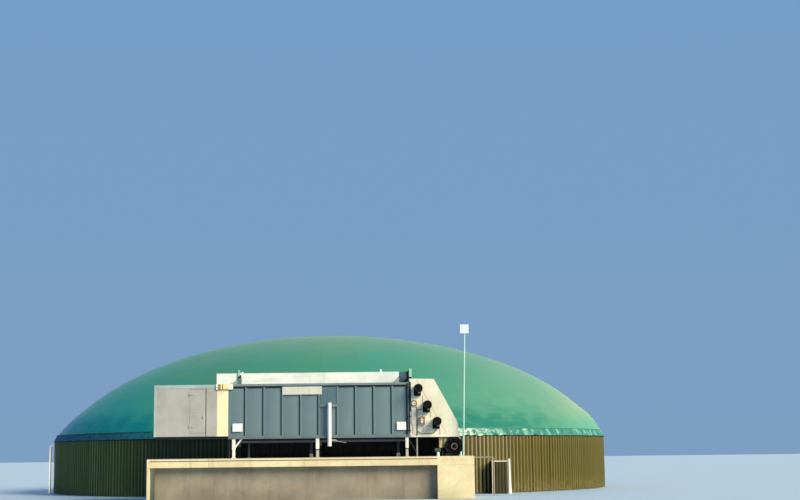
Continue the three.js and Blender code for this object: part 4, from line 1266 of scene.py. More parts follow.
class DIGESTER_OT_splash_board(Operator):
    """Board along the bin's back rail, with its post, lugs and end flap"""
    bl_idname = "digester.splash_board"
    bl_label = "Splash board"

    def execute(self, context):
        low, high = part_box("splash_board")
        top = 5.07
        joint = 0.45
        pieces = []
        for left, right, seed in ((low.x, joint - 0.004, 3), (joint + 0.004, high.x, 5)):
            sheet = panel((left, low.y, low.z), (right, low.y + 0.012, top), 0.004, 9, seed)
            hem = block((left, low.y - 0.004, top - 0.03), (right, low.y + 0.026, top), 0.006, 2)
            foot = block((left, low.y + 0.01, low.z), (right, high.y, low.z + 0.05), 0.004, 1)
            stays = [block((x, low.y + 0.01, low.z + 0.02), (x + 0.04, high.y, top - 0.01), 0.004, 1)
                     for x in (left + 0.15, (left + right) / 2, right - 0.2)]
            pieces += [sheet, hem, foot, *stays]
        for x, tip in ((2.81, high.z), (-2.865, high.z - 0.06)):
            lug = plate([(x - 0.06, top - 0.02), (x + 0.07, top - 0.02), (x + 0.015, tip), (x - 0.02, tip)],
                        low.y + 0.004, low.y + 0.014)
            pieces.append(softened(lug, 0.002))
        settle(pieces, "splash_board_sheets", "board_paint", ["splash_board"])
        # Painted shade: a grey plate at the board's right end, beside the flap
        end_painted_shade_plate = plate([(high.x - 0.25, 4.6), (high.x - 0.004, 4.6), (high.x - 0.004, 4.9),
                           (high.x - 0.11, 4.76), (high.x - 0.25, 4.66)], low.y - 0.005, low.y + 0.002)
        settle(softened(end_painted_shade_plate, 0.001, 1), "splash_board_end_plate", "gusset_paint")

        low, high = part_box("board_post")
        x = -2.98
        web = plate([(x - 0.38, low.z), (x + 0.03, low.z), (x + 0.03, 4.92), (x - 0.05, 4.9),
                     (x - 0.13, 4.77), (x - 0.26, 4.69), (x - 0.38, 4.655)], low.y + 0.02, low.y + 0.028)
        settle(softened(web, 0.002), "board_gusset", "gusset_paint")
        front, back, left, neck = low.y + 0.003, high.y - 0.002, x - 0.052, 4.93
        for name, right, bottom, end, *finish in (
                ("channel", x + 0.052, low.z, neck, "bin_paint", ["board_post"]),
                ("tip", x + 0.018, neck, high.z, "pole_paint")):
            post = standing([(left, back), (left, front), (right, front), (right, back)], bottom, end, 0.005)
            settle(softened(post, 0.0018), f"board_post_{name}", *finish)
        # Painted shadow: a dark strip beside the post
        strip = block((x + 0.04, low.y + 0.02, low.z), (x + 0.082, low.y + 0.04, neck), 0.004, 1)
        settle(strip, "board_post_strip", "dark_paint")
        pin = rod((x - 0.035, low.y - 0.012, 4.885), (x + 0.062, low.y + 0.02, 4.985), 0.03, 14, 0.004)
        settle(pin, "board_post_pin", "black_paint")

        low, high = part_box("flap")
        points = [(low.x, low.z), (high.x, low.z), (high.x, high.z), (low.x, high.z - 0.06)]
        flap = plate(points, low.y, low.y + 0.012)
        stiffener = within(low, high, (-0.05, 0.008, 0), (0, 0, -0.02), 0.004, 1)
        settle([softened(flap, 0.003), stiffener], "flap_sheet", "flap_paint", ["flap"])
        wedge = plate([(low.x + 0.02, low.z + 0.12), (low.x + 0.2, low.z + 0.17),
                       (high.x - 0.004, low.z + 0.33), (high.x - 0.004, low.z + 0.08),
                       (low.x + 0.02, low.z + 0.08)], low.y - 0.01, low.y + 0.002)
        edge = block((high.x - 0.06, low.y - 0.006, low.z + 0.1),
                     (high.x - 0.004, low.y + 0.002, high.z - 0.03), 0.002, 1)
        settle([softened(wedge, 0.002), edge], "flap_hinge_arm", "black_paint")

        low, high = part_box("flap_post")
        inner = 3.962
        post = block((inner, low.y, 4.85), (high.x, high.y, high.z), 0.006)
        base = block((inner - 0.03, low.y, 4.664), (high.x, high.y, 4.775), 0.006)
        collar = block(
            (inner - 0.003, low.y - 0.004, high.z - 0.06), (high.x, high.y, high.z - 0.03), 0.003, 1)
        settle([post, base, collar], "flap_post_bar", "pole_paint", ["flap_post"])
        stem = within(low, high, (0.001, 0, 0), (0.034, 0, -0.04), 0.004)
        neck = block((low.x + 0.02, low.y + 0.004, 4.77), (high.x - 0.012, high.y - 0.002, 4.855), 0.004)
        pin = drum(high.x - 0.045, 4.815, low.y - 0.012, high.y + 0.005, 0.034, 14, 0.004)
        settle([stem, neck, pin], "flap_post_pin", "black_paint")
        return {"FINISHED"}


class DIGESTER_OT_hydraulics(Operator):
    """Sheet housing of the hydraulic unit, with trims, lid and louvres"""
    bl_idname = "digester.hydraulics"
    bl_label = "Hydraulics housing"

    def execute(self, context):
        low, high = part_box("hydraulics_housing")
        front = BIN_FRONT
        sheet = 0.025
        back = high.y
        under_lid = high.z - 0.02
        pieces = [
            panel((low.x + 0.004, front, low.z), (DOOR_LEFT, front + sheet, under_lid), 0.01, 10, 1),
            panel((DOOR_RIGHT + 0.024, front, low.z), (high.x, front + sheet, under_lid), 0.006, 6, 4),
            panel((DOOR_LEFT, front, DOOR_TOP), (DOOR_RIGHT, front + sheet, under_lid), 0.002, 3, 6),
            panel((DOOR_LEFT, front, low.z), (DOOR_RIGHT, front + sheet, DOOR_BOTTOM), 0.002, 3, 7),
            block((low.x + 0.004, back - sheet, low.z), (high.x, back, under_lid), 0.004, 1),
            block((low.x + 0.004, front + sheet, low.z), (low.x + sheet, back - sheet, under_lid), 0.004, 1),
            block((high.x - sheet, front + sheet, low.z), (high.x, back - sheet, under_lid), 0.004, 1),
            block((low.x + sheet, front + sheet, low.z),
                  (high.x - sheet, back - sheet, low.z + sheet), 0.003, 1),
        ]
        for z in (2.85, 4.1):
            pieces.append(block((DOOR_LEFT - 0.058, front - 0.03, z - 0.016),
                                (DOOR_LEFT - 0.004, front + 0.002, z), 0.003, 1))
            pieces.append(upright(DOOR_LEFT, front - 0.02, z - 0.016, z, 0.014, 14))
        settle(pieces, "hydraulics_panels", "galvanised", ["hydraulics_housing"])
        gap = block((DOOR_RIGHT - 0.002, front + sheet - 0.004, low.z + 0.01),
                    (DOOR_RIGHT + 0.03, front + sheet + 0.004, under_lid - 0.004), 0.001, 1)
        settle(gap, "hydraulics_gasket", "rubber")

        lid = [
            block((low.x, front - 0.01, high.z - 0.135), (high.x, front - 0.001, high.z - 0.004), 0.004, 1),
            block((low.x, front - 0.01, under_lid), (high.x, back, high.z), 0.006, 2),
            block((low.x, front - 0.008, low.z), (low.x + 0.082, front - 0.001, high.z - 0.135), 0.004, 1),
            block((low.x, front - 0.008, low.z), (low.x + 0.012, front + 0.085, under_lid), 0.004, 1),
        ]
        for x in (-5.25, -4.45):
            lid.append(slat(x, 0.012, (front + 0.02, high.z - 0.004), (back - 0.02, high.z), 0.002, 1))
        # The trims use a paler galvanised: painted sky reflection
        settle(lid, "hydraulics_trims", "pale_galvanised")

        slats = []
        for rank in (0, 1):
            for i in range(12):
                y = front + 0.35 + rank * 0.75
                z = 3.55 + i * 0.055
                points = [(low.x + 0.003, y, z), (low.x - 0.008, y, z + 0.008), (low.x + 0.004, y, z + 0.036)]
                slats.append(folded(points, (0, 0.5, 0), 0.002))
        settle(slats, "hydraulics_louvres", "galvanised")

        low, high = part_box("housing_bearer")
        rails = [channel(low.x, high.x, y + 0.094, y + 0.006, low.z + 0.003, high.z - 0.003)
                 for y in (low.y, high.y - 0.1)]
        for x in (low.x, high.x - 0.1):
            rails.append(block((x, low.y + 0.1, low.z), (x + 0.1, high.y - 0.1, high.z), 0.006))
        settle(rails, "housing_bearer_rails", "dark_paint", ["housing_bearer"])
        return {"FINISHED"}


class DIGESTER_OT_access_door(Operator):
    """Door leaf with its creased stiffeners, strap hinges and handle"""
    bl_idname = "digester.access_door"
    bl_label = "Access door"

    def execute(self, context):
        front = BIN_FRONT
        left, right = DOOR_LEFT + DOOR_GAP, DOOR_RIGHT - DOOR_GAP
        bottom, top = DOOR_BOTTOM + DOOR_GAP, DOOR_TOP - DOOR_GAP
        leaf = panel((left, front, bottom), (right, front + 0.024, top), 0.006, 12, 9)
        for vertex in leaf.data.vertices:
            for crease in (3.445, 3.555):
                near = max(0, 1 - abs(vertex.co.z - crease) / 0.07)
                if vertex.co.y < front + 0.01 and left + 0.02 < vertex.co.x < right - 0.02:
                    vertex.co.y += 0.003 * near
        ribs = [block((left + 0.03, front - 0.004, z), (right - 0.03, front + 0.004, z + 0.022), 0.003, 2)
                for z in (3.435, 3.545)]
        straps = []
        for z in (2.8505, 4.1005):
            straps.append(
                block((left + 0.012, front - 0.026, z), (left + 0.17, front - 0.014, z + 0.088), 0.003, 1))
            straps.append(upright(left - 0.008, front - 0.02, z, z + 0.088, 0.0138, 16))
            straps.append(block(
                (left + 0.032, front - 0.016, z + 0.004), (left + 0.17, front + 0.002, z + 0.084), 0.003, 1))
            straps.append(bolt_grid((left + 0.08, left + 0.14), front - 0.026, (z + 0.044,), 0.008, 0.007))
        settle([leaf, *ribs, *straps], "access_door_leaf", "galvanised", ["access_door"], body="door")
        x = right - 0.082
        base = slat(x, 0.022, (front - 0.012, 3.185), (front + 0.002, 3.325), 0.005)
        boss = drum(x, 3.29, front - 0.028, front - 0.008, 0.016, 16, 0.003)
        grip = bent([(x, front - 0.024, 3.29), (x, front - 0.036, 3.285),
                     (x, front - 0.036, 3.2)], 0.008, 0.012)
        settle([base, boss, grip], "access_door_handle", "galvanised", body="door")
        return {"FINISHED"}


class DIGESTER_OT_cylinder_post(Operator):
    """Cream cover of the lifting cylinder, with its bracket"""
    bl_idname = "digester.cylinder_post"
    bl_label = "Cylinder post"

    def execute(self, context):
        low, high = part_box("cylinder_post")
        points = [(low.x + 0.003, high.y), (low.x + 0.003, low.y + 0.01), (low.x + 0.012, low.y + 0.003),
                  (high.x - 0.012, low.y + 0.003), (high.x - 0.003, low.y + 0.01), (high.x - 0.003, high.y)]
        cover = standing(points, low.z, high.z, 0.005)
        back = within(low, high, (0, -0.008, 0), (0, 0, 0), 0.002, 1)
        lid = within(low, high, (0, 0, -0.012), (0, 0, 0), 0.003, 1)
        foot = within(low, high, (0, 0, 0), (0, 0, 0.012), 0.003, 1)
        settle([softened(cover, 0.002), back, lid, foot], "cylinder_cover", "cover_cream", ["cylinder_post"])
        low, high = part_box("post_bracket")
        shell = block(low, high, 0.008)
        columns = (low.x + 0.06, low.x + 0.2, high.x - 0.2, high.x - 0.05)
        heads = bolt_grid(columns, low.y, ((low.z + high.z) / 2,), 0.017, 0.014)
        settle([shell, heads], "post_bracket_plate", "rusty_cream", ["post_bracket"])
        return {"FINISHED"}


class DIGESTER_OT_discharge(Operator):
    """Cream discharge housing with its cover plates"""
    bl_idname = "digester.discharge"
    bl_label = "Discharge housing"

    def execute(self, context):
        low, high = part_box("discharge_housing")
        body = [(low.x + 0.003, low.z), (high.x - 0.01, low.z), (5.816, 2.958), (4.918, 4.632),
                (low.x + 0.003, 4.652)]
        core = softened(plate(body, low.y + 0.006, high.y - 0.006), 0.01)
        foot = [(low.x, low.z), (high.x, low.z), (high.x - 0.01, low.z + 0.086), (low.x, low.z + 0.086)]
        rail = softened(plate(foot, low.y, high.y), 0.005)
        rim = []
        edges = (((5.884, 2.46), (5.822, 2.965)), ((5.825, 2.955), (4.921, 4.638)),
                 ((4.93, 4.639), (low.x, 4.66)))
        for start, end in edges:
            a, b = Vector((start[0], 0, start[1])), Vector((end[0], 0, end[1]))
            inward = (b - a).normalized().cross(Vector((0, 1, 0)))
            inward = inward if inward.dot(Vector((4.6, 0, 3.4)) - a) > 0 else -inward
            corners = [a, b, b + inward * 0.028, a + inward * 0.028]
            for y in (low.y, high.y - 0.03):
                rim.append(softened(outline([(p.x, y, p.z) for p in corners], (0, 0.03, 0)), 0.003, 1))
        covers = []
        shapes = (
            [(3.985, 2.47), (5.394, 2.47), (4.222, 4.626), (3.985, 4.63)],
            [(4.24, 4.625), (4.89, 4.612), (5.258, 3.932), (4.756, 3.684)],
            [(4.763, 3.672), (5.264, 3.921), (5.517, 3.452), (5.517, 2.47), (5.414, 2.47)],
            [(5.526, 3.436), (5.784, 2.955), (5.846, 2.47), (5.526, 2.47)],
        )
        for shape in shapes:
            for front, back in ((low.y + 0.001, low.y + 0.008), (high.y - 0.008, high.y - 0.001)):
                covers.append(softened(plate(shape, front, back), 0.002, 1))
        settle([core, rail, *rim, *covers], "discharge_covers", "housing_cream", ["discharge_housing"])
        joint = plate(
            [(5.396, 2.475), (5.41, 2.475), (4.238, 4.624), (4.224, 4.624)], low.y + 0.003, low.y + 0.007)
        settle(joint, "discharge_joint", "pale_conduit")
        face = low.y + 0.001
        places = [(5.48, face, z) for z in (2.6, 3.0, 3.4)]
        places += [(x, face, z)
                   for x, z in ((5.72, 2.6), (5.26, 3.78), (4.92, 3.84), (4.93, 4.38), (4.5, 4.57),
                                (4.05, 4.57), (4.05, 2.51), (4.7, 2.51), (5.3, 2.51))]
        settle(bolts(places, 0.008, 0.006), "discharge_bolts", "galvanised")
        back = []
        for x, z in MOTOR_PLACES:
            back.append(drum(x + MOTOR_AXIS[0], z + MOTOR_AXIS[1], high.y - 0.012, high.y, 0.13, 24, 0.004))
        settle(back, "discharge_shaft_caps", "housing_cream")
        return {"FINISHED"}


class DIGESTER_OT_gear_motors(Operator):
    """Three black gear motors with fins, fan cowls and terminal boxes"""
    bl_idname = "digester.gear_motors"
    bl_label = "Gear motors"

    def execute(self, context):
        for i, (x, z) in enumerate(MOTOR_PLACES):
            node = f"gear_motor_{i + 1}"
            low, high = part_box(node)
            back, front = high.y, low.y
            gear_front = back - 0.15
            axle = Vector((x + MOTOR_AXIS[0], 0, z + MOTOR_AXIS[1]))
            case = plate([(x - 0.146, z - 0.2), (x - 0.126, z - 0.22), (x + 0.118, z - 0.22),
                          (x + 0.136, z - 0.2), (x + 0.136, z + 0.05), (x - 0.146, z + 0.05)],
                         gear_front + 0.004, back)
            case = softened(case, 0.012)
            rib = block((x - 0.147, gear_front + 0.04, z - 0.221),
                        (x + 0.137, gear_front + 0.06, z + 0.06), 0.004, 1)
            housing = drum(axle.x, axle.z, gear_front + 0.001, back, 0.174, 32, 0.008)
            flange = drum(axle.x, axle.z, gear_front - 0.035, gear_front + 0.002, 0.167, 32, 0.004)
            shell = drum(axle.x, axle.z, front + 0.05, gear_front, 0.136, 28)
            fin = slat(axle.x, 0.003, (front + 0.085, axle.z + 0.128),
                       (gear_front - 0.03, axle.z + 0.163), 0.001, 1)
            fins = around(fin, 36, axle)
            cowl = drum(axle.x, axle.z, front, front + 0.085, 0.167, 32, 0.018)
            cowl = sunk(cowl, (0.024, 0.006), (0.018, -0.006), (0.02, 0.006), (0.018, -0.006), (0.02, 0.006))
            spoke = slat(axle.x, 0.004, (front + 0.001, axle.z + 0.03),
                         (front + 0.008, axle.z + 0.14), 0.001, 1)
            parts = [case, housing, rib, shell, fins, flange, cowl, around(spoke, 8, axle)]
            settle(parts, f"gear_motor_body_{i + 1}", "black_paint", [node])
            box = block((x - 0.076, front + 0.094, z - 0.152), (x + 0.081, gear_front - 0.03, z - 0.03), 0.01)
            lid = block((x - 0.079, front + 0.091, z - 0.163),
                        (x + 0.084, gear_front - 0.028, z - 0.146), 0.005)
            settle([box, lid], f"terminal_box_{i + 1}", "black_paint")
            gland = drum(x + 0.052, z - 0.1, front + 0.06, front + 0.098, 0.034, 8, 0.004)
            nut = drum(x + 0.052, z - 0.1, front + 0.05, front + 0.062, 0.024, 6, 0.003)
            settle([gland, nut], f"cable_gland_{i + 1}", "galvanised")
        return {"FINISHED"}


class DIGESTER_OT_wiring(Operator):
    """Bearing, junction box, clipped conduits and the pipes beside them"""
    bl_idname = "digester.wiring"
    bl_label = "Bearing and wiring"

    def execute(self, context):
        low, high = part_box("bearing")
        centre = (low + high) / 2
        ring = drum(centre.x, centre.z, low.y + 0.02, high.y, 0.128, 32, 0.008)
        settle(sunk(ring, (0.034, 0.01)), "bearing_ring", "brown_paint", ["bearing"])
        neck = drum(centre.x - 0.006, centre.z, low.y + 0.004, low.y + 0.04, 0.076, 28, 0.01)
        settle(neck, "bearing_cap", "duct_paint", slot="cream_paint")
        heads = around(bolts([(centre.x, low.y + 0.02, centre.z + 0.11)], 0.009, 0.008), 6, centre)
        shaft = drum(centre.x + 0.022, centre.z, low.y, low.y + 0.01, 0.03, 20, 0.004)
        settle([heads, shaft], "bearing_bolts", "brown_paint")

        low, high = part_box("junction_box")
        case = block(low, high, 0.01)
        rim = block((low.x - 0.004, low.y - 0.002, low.z - 0.004),
                    (high.x + 0.004, low.y + 0.012, high.z + 0.004), 0.006)
        settle([case, rim], "junction_box_case", "brown_paint", ["junction_box"])
        lid = block((low.x + 0.045, low.y - 0.012, low.z + 0.045),
                    (high.x - 0.04, low.y, high.z - 0.045), 0.005)
        settle(lid, "junction_box_lid", "duct_paint", slot="cream_paint")
        knobs = []
        for x in (low.x + 0.06, high.x - 0.06):
            for z in (low.z + 0.07, (low.z + high.z) / 2, high.z - 0.07):
                knobs.append(drum(x, z, low.y - 0.022, low.y - 0.01, 0.026, 18, 0.004))
        settle(knobs, "junction_box_knobs", "conduit_paint")

        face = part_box("discharge_housing")[0].y - 0.012
        ducts = [block((4.034, face - 0.02, 2.87), (4.206, face + 0.013, 3.5), 0.006),
                 block((4.084, face - 0.018, 2.5), (4.202, face + 0.013, 2.866), 0.005)]
        settle(ducts, "cable_duct", "duct_paint")
        dark_lines = (
            ([(4.246, face - 0.018, 2.49), (4.246, face - 0.018, 3.46), (4.215, face - 0.018, 3.6)], 0.014),
            ([(4.246, face - 0.018, 3.44), (4.48, face - 0.018, 3.44)], 0.012),
            ([(4.246, face - 0.018, 2.9), (4.246, face - 0.018, 2.46)], 0.02),
            ([(4.985, face - 0.014, 2.64), (4.9, face - 0.014, 2.53), (4.42, face - 0.014, 2.505),
              (4.262, face - 0.014, 2.6)], 0.012),
        )
        pale_lines = (
            ([(4.482, face + 0.002, 2.55), (4.482, face + 0.002, 3.97)], 0.009),
            ([(4.56, face + 0.002, 2.79), (4.81, face + 0.002, 2.79)], 0.006),
            ([(4.79, face + 0.002, 3.13), (4.79, face + 0.002, 3.34)], 0.007),
            ([(5.14, face + 0.002, 2.47), (5.14, face + 0.002, 2.69)], 0.007),
        )
        tubes = [bent(points, radius, 0.06, 2) for points, radius in dark_lines]
        settle(tubes, "conduits", "conduit_paint")
        tubes = [bent(points, radius, 0.06, 2) for points, radius in pale_lines]
        settle(tubes, "thin_conduits", "pale_conduit")
        clips = [block((4.222, face - 0.034, z), (4.272, face + 0.013, z + 0.016), 0.003, 1)
                 for z in (2.66, 3.0, 3.34)]
        settle(clips, "conduit_clips", "pale_conduit")

        y = BIN_FRONT - 0.028
        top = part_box("bin_rim")[0].z + 0.12
        dark = [bent([(x, y, bottom), (x, y, top), (x, y + 0.2, top + 0.06)], r, 0.05, 2)
                for x, bottom, r in ((3.868, 2.46, 0.01), (3.955, 2.54, 0.02), (3.996, 3.38, 0.022))]
        settle(dark, "grease_pipes", "rubber")
        slate = bent([(3.908, y, 2.46), (3.908, y, top - 0.02), (3.908, y + 0.2, top + 0.04)], 0.014, 0.05, 2)
        settle(slate, "slate_pipe", "slate_paint")
        bands = [block((3.85, y - 0.03, z), (4.022, y + 0.028, z + 0.02), 0.004, 1)
                 for z in (2.62, 3.18, 3.74, 4.3)]
        settle(bands, "grease_pipe_clamps", "black_paint")
        foot = block((3.985, y, 2.38), (4.11, y + 0.028, 2.49), 0.004)
        settle(foot, "corner_bracket", "duct_paint")
        return {"FINISHED"}


class DIGESTER_OT_feed_screw(Operator):
    """Feed screw tube with its end flange, chute, stands and pump"""
    bl_idname = "digester.feed_screw"
    bl_label = "Feed screw"

    def execute(self, context):
        low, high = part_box("feed_screw")
        centre, front = SCREW_AXIS, SCREW_FRONT
        x, z = centre.x, centre.z
        disc = drum(x, z, front, front + 0.028, 0.369, 48, 0.004)
        second = drum(x, z, front + 0.032, front + 0.06, 0.369, 48, 0.004)
        tube = drum(x, z, front + 0.05, high.y, 0.25, 48)
        rings = [drum(x, z, y, y + 0.05, 0.3, 40, 0.004) for y in (-16.9, -15.6, -14.3, -13.02)]
        web = slat(x, 0.006, (front - 0.045, z + 0.13), (front + 0.002, z + 0.3), 0.002, 1)
        stands = []
        for y0, y1 in ((-17.98, -17.86), (-15.24, -15.12)):
            stands.append(slat(x, 0.098, (y0 + 0.005, low.z + 0.014), (y1 - 0.005, 1.81), 0.006))
            stands.append(slat(x, 0.15, (y0 - 0.02, low.z), (y1 + 0.02, low.z + 0.015), 0.003, 1))
        sensor = block((6.035, -18.09, 2.05), (6.075, -18.05, 2.12), 0.004, 1)
        parts = [disc, second, tube, *rings, around(web, 8, centre), *stands, sensor]
        settle(parts, "feed_screw_tube", "black_paint", ["feed_screw"])
        bolt = bolts([(x, front, z + 0.335)], 0.012, 0.012)
        settle(around(bolt, 20, centre), "feed_screw_bolts", "dark_paint")
        hub = drum(x, z, front - 0.058, front, 0.128, 36, 0.008)
        hub = sunk(hub, (0.014, 0.0), (0.003, 0.02), (0.02, 0.0), (0.003, 0.014))
        settle(hub, "feed_screw_hub", "hub_steel")
        socket = drum(x, z, front - 0.05, front - 0.004, 0.086, 28, 0.006)
        shaft = drum(x, z, front - 0.057, front - 0.004, 0.026, 20, 0.004)
        settle([socket, shaft], "feed_screw_shaft", "black_paint")
        self.chute()
        self.pump()
        return {"FINISHED"}

    def chute(self):
        low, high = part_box("chute")
        top, bottom = high.z, low.z
        shallow = [(low.x + 0.012, top), (high.x - 0.01, top), (high.x - 0.01, top - 0.05),
                   (high.x - 0.15, top - 0.06), (low.x + 0.17, bottom), (low.x + 0.024, bottom)]
        deep = [(low.x + 0.012, top), (high.x - 0.01, top), (high.x - 0.01, 2.08), (low.x + 0.3, bottom),
                (low.x + 0.024, bottom)]
        front = softened(plate(shallow, low.y + 0.012, low.y + 0.2), 0.006)
        back = softened(plate(deep, low.y + 0.19, high.y - 0.01), 0.006)
        collar = block((low.x, low.y, top - 0.03), (high.x, high.y, top), 0.004, 1)
        ribs = [block((x, low.y + 0.002, bottom + 0.1), (x + 0.01, low.y + 0.014, top - 0.02), 0.002, 1)
                for x in (low.x + 0.06, low.x + 0.16)]
        columns = (low.x + 0.04, low.x + 0.2, low.x + 0.36, high.x - 0.04)
        heads = bolt_grid(columns, low.y, (top - 0.015,), 0.007, 0.006)
        settle([front, back, collar, *ribs, heads], "chute_sheets", "streaked_cream", ["chute"])

    def pump(self):
        low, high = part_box("pump_motor")
        x, y, up = (low.x + high.x) / 2, (low.y + high.y) / 2, 1.865
        foot = slat(x, 0.065, (y - 0.06, low.z), (y + 0.06, low.z + 0.012), 0.003, 1)
        stem = upright(x, y, low.z + 0.01, low.z + 0.165, 0.052, 24, 0.008)
        settle([foot, stem], "pump_stand", "white_paint")
        case = rod((low.x + 0.03, y, up), (high.x - 0.02, y, up), 0.078, 28, 0.012)
        cowl = rod((low.x, y, up), (low.x + 0.06, y, up), 0.084, 28, 0.012)
        fin = block((low.x + 0.07, y - 0.002, up + 0.07), (high.x - 0.05, y + 0.002, up + 0.084), 0.0008, 1)
        fins = around(fin, 24, (0, y, up), "X")
        settle([case, cowl, fins], "pump_case", "pump_paint", ["pump_motor"])
        peg = [upright(5.928, -18.45, low.z, 1.8, 0.024, 16, 0.006),
               upright(5.928, -18.45, low.z, low.z + 0.02, 0.045, 16, 0.004)]
        settle(peg, "earth_peg", "white_paint")


class DIGESTER_OT_side_tube(Operator):
    """White tube on the bin's front, with its bracket, and the bare name board"""
    bl_idname = "digester.side_tube"
    bl_label = "Side tube and board"

    def execute(self, context):
        low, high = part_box("side_tube")
        x = 0.82
        radius = 0.075
        y = low.y + 0.085
        tube = upright(x, y, low.z + 0.01, high.z - 0.012, radius, 40, 0.004)
        cap = upright(x, y, high.z - 0.03, high.z, radius, 40, 0.012)
        foot = upright(x, y, low.z, low.z + 0.03, radius, 40, 0.008)
        settle([tube, cap, foot], "side_tube_pipe", "white_paint", ["side_tube"])
        face = BIN_FRONT
        left, right = FIRST_RIB + 4 * RIB_PITCH + 0.045, FIRST_RIB + 5 * RIB_PITCH - 0.045
        backing = panel((left, face + 0.012, 3.69), (right, face + 0.02, 4.372), 0.003, 5, 11)
        heads = bolt_grid((left + 0.05, right - 0.05), face + 0.012, (3.75, 4.03, 4.31), 0.008, 0.006)
        spacers = [slat(bx, 0.02, (face + 0.018, 3.7), (face + 0.056, 4.36), 0.002, 1)
                   for bx in (left + 0.05, right - 0.05)]
        settle([backing, heads, *spacers], "side_tube_backing", "backing_paint")
        bar = channel(0.445, 1.185, face - 0.004, face - 0.018, 3.6, 3.69, 0.004)
        clamps = []
        for z in (3.62, 2.56):
            clamps.append(block((x - 0.13, face - 0.02, z), (x - 0.07, face - 0.004, z + 0.04), 0.002, 1))
            clamps.append(block((x + 0.07, face - 0.02, z), (x + 0.13, face - 0.004, z + 0.04), 0.002, 1))
        settle([bar, *clamps], "side_tube_bracket", "bin_paint")

        low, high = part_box("name_board")
        board = sunk(block(low, high, 0.003), (0.012, 0.003))
        columns = (low.x + 0.03, -0.255, high.x - 0.03)
        rivets = bolt_grid(columns, low.y, (low.z + 0.03, high.z - 0.03), 0.007, 0.004)
        settle([board, rivets], "name_board_plate", "name_board_paint", ["name_board"])
        return {"FINISHED"}


